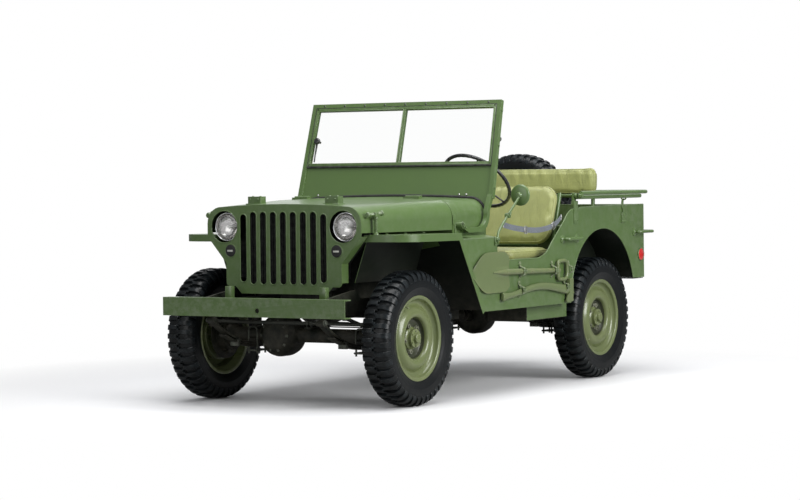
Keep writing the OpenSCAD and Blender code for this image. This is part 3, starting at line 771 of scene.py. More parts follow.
@dataclass(frozen=True)
class Clear:
    """Window or lamp glass."""

    name: str
    slot: str
    tint: Colour
    rough: float = 0.02
    ribs: float = 0.0

    def material(self, effects: Effects) -> bpy.types.Material:
        """Build the material.

        Args:
            effects: The shared node groups.

        Returns:
            The new material.
        """
        material, sheet = new_material(self.name)
        if not self.ribs:
            through = sheet.add("BsdfTransparent", {"Color": (*self.tint, 1)})
            gloss = sheet.add("BsdfGlossy", {"Roughness": 0.03})
            faint = sheet.math("MULTIPLY", sheet.add("Fresnel", {"IOR": 1.35}).outputs[0], 0.3)
            sheet.surface(sheet.blend(faint, through, gloss))
            return material
        place = sheet.place()
        wave = sheet.add("TexWave", {"Vector": place, "Scale": 60.0, "Distortion": 0.0}, bands_direction="X")
        bump = sheet.add("Bump", {"Strength": self.ribs, "Distance": 0.002, "Height": wave.outputs["Fac"]})
        smear = sheet.math("MULTIPLY", sheet.noise(place, 3.0, 6.0), 0.03)
        sheet.surface(sheet.add("BsdfPrincipled", {"Base Color": (*self.tint, 1), "Roughness": sheet.math("ADD",
            smear, self.rough), "Transmission Weight": 1.0, "IOR": 1.45, "Normal": bump.outputs[0]}))
        return material


class Finish(Enum):
    """Every finish on the car."""

    OLIVE = Paint("olive_enamel", "olive_paint", (0.086, 0.146, 0.043), (0.069, 0.121, 0.035), 0.3, gloss_coat=0.35,
        wear=0.25, dust=0.1)
    WHEEL = Paint("wheel_enamel", "olive_paint", (0.14, 0.172, 0.064), (0.104, 0.136, 0.05), 0.25, gloss_coat=0.35,
        wear=0.5, worn=(0.45, 0.47, 0.33), dust=0.2)
    # Near-black chassis paint, also laid on fender, wheel-house and fuel tank faces that look into the arches or at
    # the road, as painted shade.
    DARK = Paint("chassis_paint_and_painted_shade", "dark_paint", (0.008, 0.011, 0.007), (0.004, 0.006, 0.004), 0.42, shine=0.25,
        wear=0.2, dust=0.5, worn=(0.12, 0.12, 0.1))
    IRON = Paint("worn_iron", "dark_paint", (0.045, 0.05, 0.042), (0.02, 0.023, 0.018), 0.4, metal=0.5, wear=0.5,
        dust=0.3)
    BLACK = Paint("black_enamel", "black_enamel", (0.012, 0.012, 0.014), (0.02, 0.02, 0.02), 0.25, gloss_coat=0.6,
        wear=0.1, dust=0.05)
    MATT_BLACK = Paint("matt_black", "radiator_black", (0.01, 0.01, 0.01), (0.018, 0.018, 0.018), 0.7, wear=0.1,
        dust=0.05)
    RUBBER = Paint("tyre_rubber", "tyre_rubber", (0.0036, 0.005, 0.0058), (0.0024, 0.0034, 0.004), 0.28, shine=0.28,
        worn=(0.028, 0.037, 0.042), wear=0.5, dust=0.03, grain=0.5, grain_scale=260.0, bump=0.08)
    CHROME = Paint("bright_chrome", "lamp_chrome", (0.86, 0.87, 0.88), (0.78, 0.79, 0.8), 0.06, metal=1.0, wear=0.0,
        dust=0.02, grain=0.0, bump=0.0)
    REFLECTOR = Paint("lamp_reflector", "lamp_chrome", (0.42, 0.41, 0.39), (0.3, 0.27, 0.24), 0.1, metal=1.0,
        wear=0.0, dust=0.0, grain=0.0, bump=0.0)
    # Near-black olive for the wheel bowls: painted shade of the recess between the hub and the bulge.
    GRIME = Paint("bowl_painted_shade", "olive_paint", (0.032, 0.038, 0.019), (0.014, 0.017, 0.009), 0.3, gloss_coat=0.2,
        wear=0.3, dust=0.1)
    NUT = Paint("rubbed_nut", "olive_paint", (0.09, 0.1, 0.055), (0.04, 0.045, 0.025), 0.22, gloss_coat=0.6,
        worn=(0.5, 0.5, 0.42), wear=0.8, dust=0.1)
    STEEL = Paint("bare_steel", "lamp_chrome", (0.52, 0.52, 0.5), (0.36, 0.36, 0.35), 0.3, metal=1.0, wear=0.2,
        dust=0.05)
    DIAL = Paint("dial_white", "black_enamel", (0.6, 0.6, 0.55), (0.5, 0.5, 0.45), 0.5, wear=0.0, dust=0.0)
    RED = Paint("red_lens", "lens_red", (0.62, 0.015, 0.012), (0.45, 0.01, 0.01), 0.12, gloss_coat=1.0, wear=0.0,
        dust=0.0, grain=0.0)
    WOOD = Paint("painted_ash", "tool_wood", (0.125, 0.165, 0.066), (0.096, 0.13, 0.052), 0.34, worn=(0.2, 0.2, 0.1),
        wear=0.5, grain=0.6, grain_scale=90.0, gloss_coat=0.2)
    CANVAS = Cloth("seat_canvas", "canvas", (0.3, 0.32, 0.1), (0.215, 0.24, 0.074), 0.38, 0.2, 330.0, coat=0.3,
        creases=0.5)
    WEBBING = Cloth("cotton_webbing", "webbing", (0.12, 0.14, 0.165), (0.08, 0.09, 0.11), 0.6, 0.3, 420.0)
    GREEN_WEBBING = Cloth("green_webbing", "webbing", (0.15, 0.19, 0.085), (0.1, 0.13, 0.055), 0.6, 0.3, 420.0)
    PANE = Clear("window_pane", "window_glass", (0.995, 0.998, 0.997))
    LENS = Clear("lamp_lens", "window_glass", (0.97, 0.98, 1.0), ribs=0.15)


@dataclass
class Paintshop:
    """Mixes each finish once and puts it on the pieces."""

    effects: Effects
    mixed: dict[Finish, bpy.types.Material] = field(default_factory=dict)
    count: int = 0

    def material(self, finish: Finish) -> bpy.types.Material:
        """The material of a finish, built the first time that it is asked for."""
        if finish not in self.mixed:
            self.mixed[finish] = finish.value.material(self.effects)
        return self.mixed[finish]

    def dress(self, piece: Piece, finish: Finish, body: str = CHASSIS, replaces: Sequence[str] = ()) -> Piece:
        """Finish a new piece and hang it on its body.

        Args:
            piece: The piece.
            finish: What it is painted or made of.
            body: The body that it moves with.
            replaces: CAD nodes that it stands for.

        Returns:
            The same piece.
        """
        piece.data.materials.clear()
        piece.data.materials.append(self.material(finish))
        if replaces:
            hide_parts(*replaces)
        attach(piece, body)
        self.count += 1
        log.info("%s: %d faces, %s on %s", piece.name, len(piece.data.polygons), finish.value.name, body)
        return piece

    def repaint(self, node: str, finish: Finish) -> None:
        """Give a CAD node that stays in sight its finish."""
        part = bpy.data.objects[node]
        part.data.materials.clear()
        part.data.materials.append(self.material(finish))
        for face in part.data.polygons:
            face.material_index = 0
        log.info("%s keeps its shape, in %s", node, finish.value.name)


# ------------------------------------------------------------------ studio


@dataclass
class Studio:
    """Floor, lights and camera."""

    camera_place: Point = (7.411, -12.046, 1.183)
    azimuth: float = 30.83
    elevation: float = 1.21
    roll: float = -0.63
    lens: float = 112.5
    shift: tuple[float, float] = (-0.064, -0.026)
    floor_radius: float = 60.0
    white_from: float = 3.2
    fade: float = 1.4
    room_light: float = 0.24
    lamps: tuple[tuple[str, Point, Point, float, float], ...] = (("top_lamp", (0.5, -0.6, 5.0), (0, 0, 0.8), 4.5,
        290.0), ("nose_lamp", (-1.0, -7.2, 2.6), (0, -1.0, 0.7), 4.0, 90.0), ("side_lamp", (7.0, -1.0, 3.0),
        (0, 0.2, 0.7), 4.0, 490.0), ("rear_lamp", (-3.2, 7.5, 3.4), (0, 0.0, 0.9), 8.5, 150.0))

    def set_camera(self) -> None:
        """Stand the camera where it looks at the nose and the driver's side."""
        data = bpy.data.cameras.new("camera")
        data.lens = self.lens
        data.sensor_width = 36.0
        data.shift_x, data.shift_y = self.shift
        data.clip_end = 200.0
        camera = bpy.data.objects.new("camera", data)
        bpy.context.scene.collection.objects.link(camera)
        turn, rise = radians(self.azimuth), radians(self.elevation)
        back = Vector((sin(turn) * cos(rise), -cos(turn) * cos(rise), sin(rise)))
        camera.matrix_world = (Matrix.Translation(self.camera_place) @ facing(back)
            @ Matrix.Rotation(radians(self.roll), 4, "Z"))
        bpy.context.scene.camera = camera

    def lay_floor(self) -> None:
        """Lay a pale floor that fades to white far from the car."""
        deselect()
        bpy.ops.mesh.primitive_circle_add(vertices=96, radius=self.floor_radius, fill_type="NGON")
        floor = settle(bpy.context.object, "floor_sheet")
        material, sheet = new_material("pale_floor")
        place = sheet.place()
        reach = sheet.add("VectorMath", {0: place}, operation="LENGTH").outputs["Value"]
        rough = sheet.math("ADD", sheet.math("MULTIPLY", sheet.noise(place, 40.0), 0.1), 0.5)
        pale = sheet.add("BsdfPrincipled", {"Base Color": (0.86, 0.86, 0.87, 1), "Roughness": rough,
            "Specular IOR Level": 0.2})
        dim = sheet.add("BsdfDiffuse", {"Color": (0.34, 0.34, 0.34, 1)})
        glow = sheet.add("Emission", {"Color": (*WHITE, 1), "Strength": 1.0})
        seen = sheet.seen()
        share = sheet.math("MULTIPLY", sheet.ramp(reach, self.white_from - self.fade, self.white_from), seen)
        sheet.surface(sheet.blend(share, sheet.blend(seen, dim, pale), glow))
        floor.data.materials.append(material)

    def hang_lamp(self, name: str, place: Point, aim: Point, size: float, power: float) -> None:
        """Hang one soft square lamp.

        Args:
            name: The lamp's name.
            place: Where it hangs.
            aim: The point that it faces.
            size: The length of its side.
            power: Its power in watts.
        """
        data = bpy.data.lights.new(name, "AREA")
        data.shape = "SQUARE"
        data.size = size
        data.energy = power
        lamp = bpy.data.objects.new(name, data)
        bpy.context.scene.collection.objects.link(lamp)
        away = Vector(place) - Vector(aim)
        lamp.matrix_world = Matrix.Translation(place) @ facing(away)

    def light(self) -> None:
        """Light the car with a pale room and soft lamps, and keep the background white."""
        world = bpy.data.worlds.new("pale_room")
        bpy.context.scene.world = world
        world.use_nodes = True
        sheet = NodeSheet(world.node_tree)
        room = sheet.add("Background", {"Color": (0.93, 0.96, 1.0, 1), "Strength": self.room_light})
        white = sheet.add("Background", {"Color": (*WHITE, 1), "Strength": 1.0})
        sheet.surface(sheet.blend(sheet.seen(), room, white), "World")
        for lamp in self.lamps:
            self.hang_lamp(*lamp)
        bpy.context.scene.view_settings.view_transform = "Standard"


# ------------------------------------------------------------------ shapes shared by sub-assemblies


def plate(name: str, outline: Outline, plane: str, low: float, high: float, rounding: float = 0.0) -> Piece:
    """A flat piece: an outline extruded square to its plane.

    Args:
        name: The piece's name.
        outline: Its corners in the plane.
        plane: "YZ", "XZ" or "XY".
        low: Where the extrusion starts on the third axis.
        high: Where it ends.
        rounding: Radius of its edges, or 0 for sharp ones.

    Returns:
        The new piece.
    """
    lay = {"YZ": lambda u, v: Vector((low, u, v)), "XZ": lambda u, v: Vector((u, low, v)), "XY": lambda u,
        v: Vector((u, v, low))}[plane]
    out = {"YZ": X_AXIS, "XZ": Y_AXIS, "XY": Z_AXIS}[plane]
    deselect()
    bpy.ops.mesh.primitive_circle_add(vertices=len(outline), radius=1, fill_type="NGON")
    piece = bpy.context.object
    for corner, (u, v) in zip(piece.data.vertices, outline):
        corner.co = lay(u, v)
    edit(piece)
    bpy.ops.mesh.extrude_region_move(TRANSFORM_OT_translate={"value": out * (high - low)})
    close_edit(outwards=True)
    settle(piece, name)
    if rounding:
        soften(piece, rounding)
    return smooth(piece)


def flowing(points: Outline, steps: int = 4) -> list[tuple[float, float]]:
    """A smooth curve through an outline's points.

    Args:
        points: The points that it passes through.
        steps: How many steps it takes from one to the next.

    Returns:
        The curve's points.
    """
    path = [Vector(p) for p in points]
    result = []
    for i in range(len(path) - 1):
        a, b, c, d = path[max(i - 1, 0)], path[i], path[i + 1], path[min(i + 2, len(path) - 1)]
        for k in range(steps):
            t = k / steps
            p = 0.5 * (2 * b + (c - a) * t + (2 * a - 5 * b + 4 * c - d) * t * t + (3 * b - a - 3 * c + d) * t * t
                * t)
            result.append((p.x, p.y))
    return result + [tuple(path[-1])]


def middle_of(node: str) -> Vector:
    """The middle of a CAD node's box."""
    low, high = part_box(node)
    return (low + high) / 2


def facing(way: Point) -> Matrix:
    """The turn that brings the Z axis to a direction, as a matrix."""
    return Vector(way).to_track_quat("Z", "Y").to_matrix().to_4x4()


def stand(name: str, pattern: Piece, places: Iterable[tuple[Point, Point]], spin: float = 0.0) -> Piece:
    """Copies of a pattern piece, each at its place, as one mesh.

    Args:
        name: The name of the joined piece.
        pattern: The piece that is copied, standing on the origin. It is used up.
        places: For each copy the point where it stands and the way that it faces.
        spin: How far each copy is turned on from the one before.

    Returns:
        The joined piece.
    """
    copies = [clone(pattern, f"{name}_{i}", Matrix.Translation(place) @ facing(way) @ Matrix.Rotation(spin * i, 4,
        "Z")) for i, (place, way) in enumerate(places)]
    discard(pattern)
    return smooth(join(name, copies))


def ring_of(name: str, pattern: Piece, count: int, start: float = 0.0) -> Piece:
    """Copies of a pattern piece all round the X axis, as one mesh.

    Args:
        name: The name of the joined piece.
        pattern: The piece that is copied. It is used up.
        count: How many copies there are.
        start: Where the first one is, in steps from the pattern's own place.

    Returns:
        The joined piece.
    """
    step = tau / count
    copies = [clone(pattern, name + "_copy", Matrix.Rotation(step * (i + start), 4, "X")) for i in range(count)]
    discard(pattern)
    return join(name, copies)


def bolt_heads(name: str, places: Iterable[tuple[Point, Point]], radius: float = 0.008,
        height: float = 0.006) -> Piece:
    """Hexagon heads on washers, one modelled and the rest copied from it.

    Args:
        name: The name of the joined piece.
        places: For each bolt the point where it stands and the way that it faces.
        radius: The head's radius.
        height: The head's height.

    Returns:
        All the heads as one mesh.
    """
    washer = drum("washer", (0, 0, -0.0005), (0, 0, 0.0015), radius * 1.35, 16)
    head = drum("head", (0, 0, 0.001), (0, 0, height), radius, 6, rounding=radius * 0.12)
    pattern = join("bolt_pattern", [washer, head])
    return stand(name, pattern, places, 0.7)


def rivets(name: str, places: Iterable[tuple[Point, Point]], radius: float = 0.005) -> Piece:
    """Round rivet or screw heads.

    Args:
        name: The name of the joined piece.
        places: For each rivet the point where it stands and the way that it faces.
        radius: The head's radius.

    Returns:
        All the rivets as one mesh.
    """
    pattern = lathe("rivet_pattern", [(-0.0005, radius), (0.0004, radius), (radius * 0.4, radius * 0.75),
        (radius * 0.55, radius * 0.35), (radius * 0.6, 0.0)], (0, 0, 0), Z_AXIS, 12)
    return stand(name, pattern, places)


def strip(name: str, points: Sequence[Point], across: Point, width: float, thickness: float,
        bend: float = 0.0) -> tuple[Piece, float]:
    """A flat strap or band along a path.

    Args:
        name: The piece's name.
        points: The corners of its middle line.
        across: The way that its width lies.
        width: Its width.
        thickness: Its thickness.
        bend: How far the rounding of a corner reaches.

    Returns:
        The strap, and its length.
    """
    path = rounded(points, bend, 5) if bend else [Vector(p) for p in points]
    wide = Vector(across).normalized() * width
    piece = draw_out([point - wide / 2 for point in path])
    bpy.ops.mesh.extrude_region_move(TRANSFORM_OT_translate={"value": wide})
    close_edit(outwards=True, weld=True)
    settle(piece, name)
    modify(piece, "SOLIDIFY", thickness=thickness, offset=0.0)
    length = sum((b - a).length for a, b in zip(path, path[1:]))
    return smooth(piece), length


def buckle(name: str, centre: Point, along: Point, face: Point, width: float) -> Piece:
    """A wire buckle with its bar.

    Args:
        name: The piece's name.
        centre: Its middle.
        along: The way that the strap runs.
        face: The way that it faces.
        width: The strap's width.

    Returns:
        The new piece.
    """
    way, out = Vector(along).normalized(), Vector(face).normalized()
    side = way.cross(out).normalized() * width * 0.62
    reach = way * width * 0.42
    middle = Vector(centre) + out * 0.003
    corners = [middle + reach + side, middle + reach - side, middle - reach - side, middle - reach + side]
    frame_loop = tube(name + "_loop", [*corners, corners[0]], 0.0022, sides=2)
    bar = tube(name + "_bar", [middle + side, middle - side], 0.002, sides=2)
    return join(name, [frame_loop, bar])


@dataclass
class Assembly:
    """A sub-assembly of the car, and the shop that finishes its pieces."""

    shop: Paintshop

    def dress(self, piece: Piece, finish: Finish = Finish.OLIVE, body: str = CHASSIS,
            replaces: Sequence[str] = ()) -> Piece:
        """Finish a piece and hang it on its body."""
        return self.shop.dress(piece, finish, body, replaces)

    def pair(self, name: str, piece: Piece, finish: Finish = Finish.OLIVE, body: str = CHASSIS,
            replaces: Sequence[str] = ()) -> Piece:
        """Finish a piece and its mirror image as one mesh."""
        return self.shop.dress(both_sides(name, piece), finish, body, replaces)


# ------------------------------------------------------------------ running gear


@dataclass
class Tyres(Assembly):
    """Five bar-tread tyres, all copied from one."""

    radius: float = 0.351
    base: float = 0.3385
    half_width: float = 0.082
    bead: float = 0.0615
    bead_radius: float = 0.2075
    lugs: int = 44
    lug_share: float = 0.56

    def carcass(self) -> Piece:
        """The casing without its lugs."""
        side = [(self.bead - 0.004, self.bead_radius), (self.bead, 0.212), (0.0635, 0.2225), (0.07, 0.236),
            (0.0752, 0.25), (0.0778, 0.262), (0.0788, 0.264), (0.0786, 0.2662), (0.0792, 0.274), (0.0796, 0.288),
            (0.079, 0.302), (0.0752, 0.317), (0.0675, 0.329), (0.055, 0.3355), (0.03, self.base), (0.0, self.base)]
        outline = [(-x, r) for x, r in side] + [(x, r) for x, r in reversed(side[:-1])]
        return lathe("carcass", outline + [outline[0]], (0, 0, 0), X_AXIS, 132)

    def lug(self, side: int) -> Piece:
        """One bar of the tread, from beside the middle over the shoulder.

        Args:
            side: 1 or -1, the half of the tread that it is on.

        Returns:
            The bar, at the top of the tyre.
        """
        half = pi * self.radius / self.lugs * self.lug_share
        outer = [(0.0045, self.base - 0.004), (0.0045, self.radius - 0.0012), (0.03, self.radius),
            (0.052, self.radius - 0.0025), (0.0665, self.radius - 0.01), (0.076, self.radius - 0.022),
            (self.half_width, self.radius - 0.037), (self.half_width - 0.0002, self.radius - 0.05),
            (0.077, self.radius - 0.052), (0.07, 0.318), (0.05, 0.328)]
        piece = plate("lug", [(side * x, r) for x, r in outer], "XZ", -half, half)
        edit(piece)
        choose(piece, "VERT", lambda place, way: abs(place.x) < 0.031)
        bpy.ops.transform.resize(value=(1, 0.84, 1))
        choose(piece, "VERT", lambda place, way: place.z > 0.343)
        bpy.ops.transform.resize(value=(1, 0.9, 1))
        close_edit()
        return soften(piece, 0.0016, 1, 40)

    def tread(self, side: int) -> Piece:
        """All the bars of one half of the tread."""
        return ring_of("tread", self.lug(side), self.lugs, 0.5 if side > 0 else 0.0)

    def ribs(self) -> Piece:
        """Short blocks that join the bars along the middle."""
        piece = block("rib", (-0.0075, -0.0065, self.base - 0.003), (0.0075, 0.0065, self.radius - 0.003), 0.0012, 1)
        return ring_of("ribs", piece, 2 * self.lugs, 0.5)

    def build(self) -> None:
        """Make every tyre and hang it on its wheel."""
        pattern = join("tyre_pattern", [self.carcass(), self.tread(1), self.tread(-1), self.ribs()])
        smooth(pattern, 34)
        for i, (end, side) in enumerate((e, s) for e in ("front", "rear") for s in ("left", "right")):
            node = f"tyre_{end}_{side}"
            turn = Matrix.Rotation(0.4 + 1.1 * i, 4, "X")
            flip = Matrix.Rotation(0 if side == "left" else pi, 4, "Z")
            piece = clone(pattern, node + "_tread", Matrix.Translation(middle_of(node)) @ flip @ turn)
            self.dress(piece, Finish.RUBBER, f"wheel_{end}_{side}", [node])
        turn = Matrix.Rotation(pi / 2, 4, "Z") @ Matrix.Rotation(0.3, 4, "X")
        spare = clone(pattern, "spare_tyre_tread", Matrix.Translation(middle_of("spare_tyre")) @ turn)
        self.dress(spare, Finish.RUBBER, CHASSIS, ["spare_tyre"])
        discard(pattern)


@dataclass
class Wheels(Assembly):
    """Pressed steel wheels with their hubs, nuts and drums."""

    nut_circle: float = 0.07
    nuts: int = 5
    flange_bolts: int = 6

    def rim(self) -> Piece:
        """The drop-centre rim and the domed disc, one turned sheet."""
        front = flowing([(0.0635, 0.2215), (0.065, 0.2185), (0.063, 0.212), (0.0585, 0.204), (0.046, 0.201),
            (0.034, 0.193), (0.029, 0.182), (0.031, 0.173), (0.042, 0.161), (0.0505, 0.148), (0.0535, 0.134),
            (0.0515, 0.1195), (0.043, 0.109), (0.021, 0.102), (0.012, 0.095), (0.011, 0.07), (0.011, 0.04)], 4)
        back = [(0.006, 0.04), (0.006, 0.094), (0.01, 0.106), (0.028, 0.127), (0.033, 0.14), (0.022, 0.16),
            (0.02, 0.179), (-0.032, 0.179), (-0.048, 0.198), (-0.06, 0.203), (-0.0645, 0.212), (-0.064, 0.2205),
            (-0.061, 0.2215), (-0.0585, 0.206), (-0.044, 0.2035), (-0.03, 0.1845), (0.022, 0.1845), (0.04, 0.2035),
            (0.058, 0.2062), (0.0605, 0.221)]
        outline = front + back
        return lathe("rim_sheet", outline + [outline[0]], (0, 0, 0), X_AXIS, 96)

    def hub(self) -> Piece:
        """The hub, its cap and the ring of flange bolts."""
        hub = lathe("hub_body", flowing([(0.0, 0.06), (0.016, 0.06), (0.02, 0.057), (0.026, 0.05), (0.032, 0.0485),
            (0.043, 0.048), (0.046, 0.0455), (0.0465, 0.03), (0.0475, 0.026), (0.06, 0.0245), (0.064, 0.021),
            (0.0655, 0.012), (0.0658, 0.0)], 2), (0, 0, 0), X_AXIS, 48)
        bolts = bolt_heads("flange_bolts", [((0.0462, 0.0385 * cos(a), 0.0385 * sin(a)), (1, 0, 0))
            for a in (tau * i / self.flange_bolts for i in range(self.flange_bolts))], 0.0055, 0.0055)
        return join("hub", [hub, bolts])

    def nut_ring(self) -> Piece:
        """The five wheel nuts on their studs."""
        nut = lathe("nut", [(0.01, 0.0145), (0.015, 0.014), (0.018, 0.0112)], (0, self.nut_circle, 0), X_AXIS, 6)
        body = drum("nut_body", (0.012, self.nut_circle, 0), (0.026, self.nut_circle, 0), 0.0135, 6, 0.0012)
        stud = drum("stud", (0.02, self.nut_circle, 0), (0.032, self.nut_circle, 0), 0.0062, 16, 0.0008)
        one = join("wheel_nut", [nut, body, stud])
        return ring_of("nuts", one, self.nuts, 0.2)

    def drum_shell(self) -> Piece:
        """The brake drum behind the disc, with its cooling lip."""
        return lathe("drum_shell", [(0.005, 0.044), (0.005, 0.12), (0.0, 0.136), (-0.01, 0.141), (-0.028, 0.141),
            (-0.034, 0.1405), (-0.034, 0.132), (-0.012, 0.132), (-0.01, 0.044), (0.005, 0.044)], (0, 0, 0), X_AXIS,
            64)

    @staticmethod
    def in_bowl(middle: Vector, way: Vector) -> bool:
        """Whether a face lies in the disc's bowl, between the hub and the bulge, which is painted near black as
        painted shade.
        """
        return way.x > 0.1 and 0.008 < middle.x < 0.032 and 0.0605 < hypot(middle.y, middle.z) < 0.107

    def valve(self) -> Piece:
        """The valve stem through the rim."""
        return tube("valve", [(0.03, 0.0, 0.186), (0.046, 0.0, 0.188), (0.06, 0.0, 0.181)], 0.0035, 0.006, sides=3)

    def build(self) -> None:
        """Make every wheel and hang it on its body."""
        sheet = join("wheel_pattern", [self.rim(), self.hub(), self.drum_shell(), self.valve()])
        # The bowl between the hub and the bulge is cut out to be painted near black: painted shade.
        bowl = cut_out(sheet, "wheel_bowl", self.in_bowl)
        nuts = self.nut_ring()
        places = [(f"rim_{e}_{s}", f"wheel_{e}_{s}", Matrix.Rotation(0 if s == "left" else pi, 4, "Z"))
            for e in ("front", "rear") for s in ("left", "right")]
        places.append(("spare_rim", CHASSIS, Matrix.Rotation(pi / 2, 4, "Z")))
        for i, (node, body, flip) in enumerate(places):
            centre = middle_of(node.replace("rim", "tyre") if node != "spare_rim" else "spare_tyre")
            spot = Matrix.Translation(centre) @ flip @ Matrix.Rotation(0.5 + 0.9 * i, 4, "X")
            self.dress(clone(sheet, node + "_disc", spot), Finish.WHEEL, body, [node])
            self.dress(clone(bowl, node + "_bowl", spot), Finish.GRIME, body)
            self.dress(clone(nuts, node + "_nuts", spot), Finish.NUT, body)
        discard(sheet)
        discard(bowl)
        discard(nuts)


@dataclass
class Chassis(Assembly):
    """Frame, axles, springs and what hangs below, with their clamps and bolts."""

    spring_x: float = 0.341
    axle_y: tuple[float, float] = (-1.098, 0.934)
    hub_z: float = 0.351
    dark_nodes: tuple[str, ...] = ("frame", "front_axle", "rear_axle", "suspension", "propeller_shafts", "engine",
        "transmission", "exhaust", "tow_hook")
    olive_nodes: tuple[str, ...] = ("fuel_tank", "rear_bumperettes", "spare_carrier")

    def spring_clamps(self) -> Piece:
        """U-bolts and plates that hold the springs to the axles."""
        pieces = []
        for side in SIDES:
            for y in self.axle_y:
                x = side * self.spring_x
                pieces.append(block("clamp_plate", (x - 0.034, y - 0.052, 0.262), (x + 0.034, y + 0.052, 0.272),
                    0.003))
                for dy in (-0.036, 0.036):
                    pieces.append(tube("u_bolt", [(x - 0.027, y + dy, 0.25), (x - 0.027, y + dy, 0.392),
                        (x + 0.027, y + dy, 0.392), (x + 0.027, y + dy, 0.25)], 0.0055, 0.022, sides=3))
        return join("spring_clamps", pieces)

    def spring_clips(self) -> Piece:
        """Small clips round the leaves."""
        pieces = []
        for side in SIDES:
            for y in self.axle_y:
                for dy, z in ((-0.2, 0.326), (0.2, 0.326)):
                    x = side * self.spring_x
                    pieces.append(block("clip", (x - 0.026, y + dy - 0.009, z - 0.026),
                        (x + 0.026, y + dy + 0.009, z + 0.014), 0.002))
        return join("spring_clips", pieces)

    def cover_bolts(self) -> Piece:
        """Bolts round the covers of both axle housings."""
        x = -0.17
        places = []
        for y, way in ((self.axle_y[0] - 0.084, -1), (self.axle_y[1] + 0.084, 1)):
            for i in range(10):
                a = tau * i / 10
                places.append(((x + 0.078 * cos(a), y, self.hub_z + 0.078 * sin(a)), (0, way, 0)))
        return bolt_heads("axle_cover_bolts", places, 0.008, 0.007)

    def shackles(self) -> Piece:
        """Spring eye bolts and their grease fittings."""
        places = []
        for side in SIDES:
            for y in (-1.5, -0.696, 0.532, 1.336):
                places.append(((side * (self.spring_x + 0.022), y, 0.446), (side, 0, 0)))
        return bolt_heads("shackle_bolts", places, 0.012, 0.012)

    def brake_lines(self) -> Piece:
        """Thin pipes clipped along the axles and the left rail."""
        runs = [[(0.32, -1.3, 0.52), (0.32, -0.6, 0.5), (0.32, 0.4, 0.5), (0.32, 0.86, 0.52)],
            [(0.3, -1.055, 0.396), (0.1, -1.055, 0.396), (-0.05, -1.05, 0.43)],
            [(0.47, 0.975, 0.392), (0.05, 0.975, 0.392), (-0.05, 0.96, 0.47)]]
        return join("brake_lines", [tube("line", run, 0.0032, 0.03, sides=2) for run in runs])

    def build(self) -> None:
        """Finish the chassis nodes and add their small pieces."""
        for node in self.dark_nodes:
            self.dress(panel(node, node + "_body", 0.0025), Finish.DARK)
        for node in self.olive_nodes:
            piece = panel(node, node + "_body", 0.003)
            if node == "fuel_tank":
                # The tank's faces that look forwards or down are painted near black: painted shade.
                self.dress(cut_out(piece, "fuel_tank_front", faces_the_road), Finish.DARK)
            self.dress(piece)
        for body in ("knuckle_left", "knuckle_right", "bell_crank", "pitman_arm"):
            self.dress(panel(body, body + "_casting", 0.002), Finish.DARK, body)
        for body in ("tie_rod_left", "tie_rod_right", "drag_link"):
            self.dress(panel(body, body + "_bar", 0.001), Finish.IRON, body)
        for piece in (self.spring_clamps(), self.spring_clips(), self.cover_bolts(), self.shackles()):
            self.dress(piece, Finish.IRON)
        self.dress(self.brake_lines(), Finish.DARK)


# ------------------------------------------------------------------ body


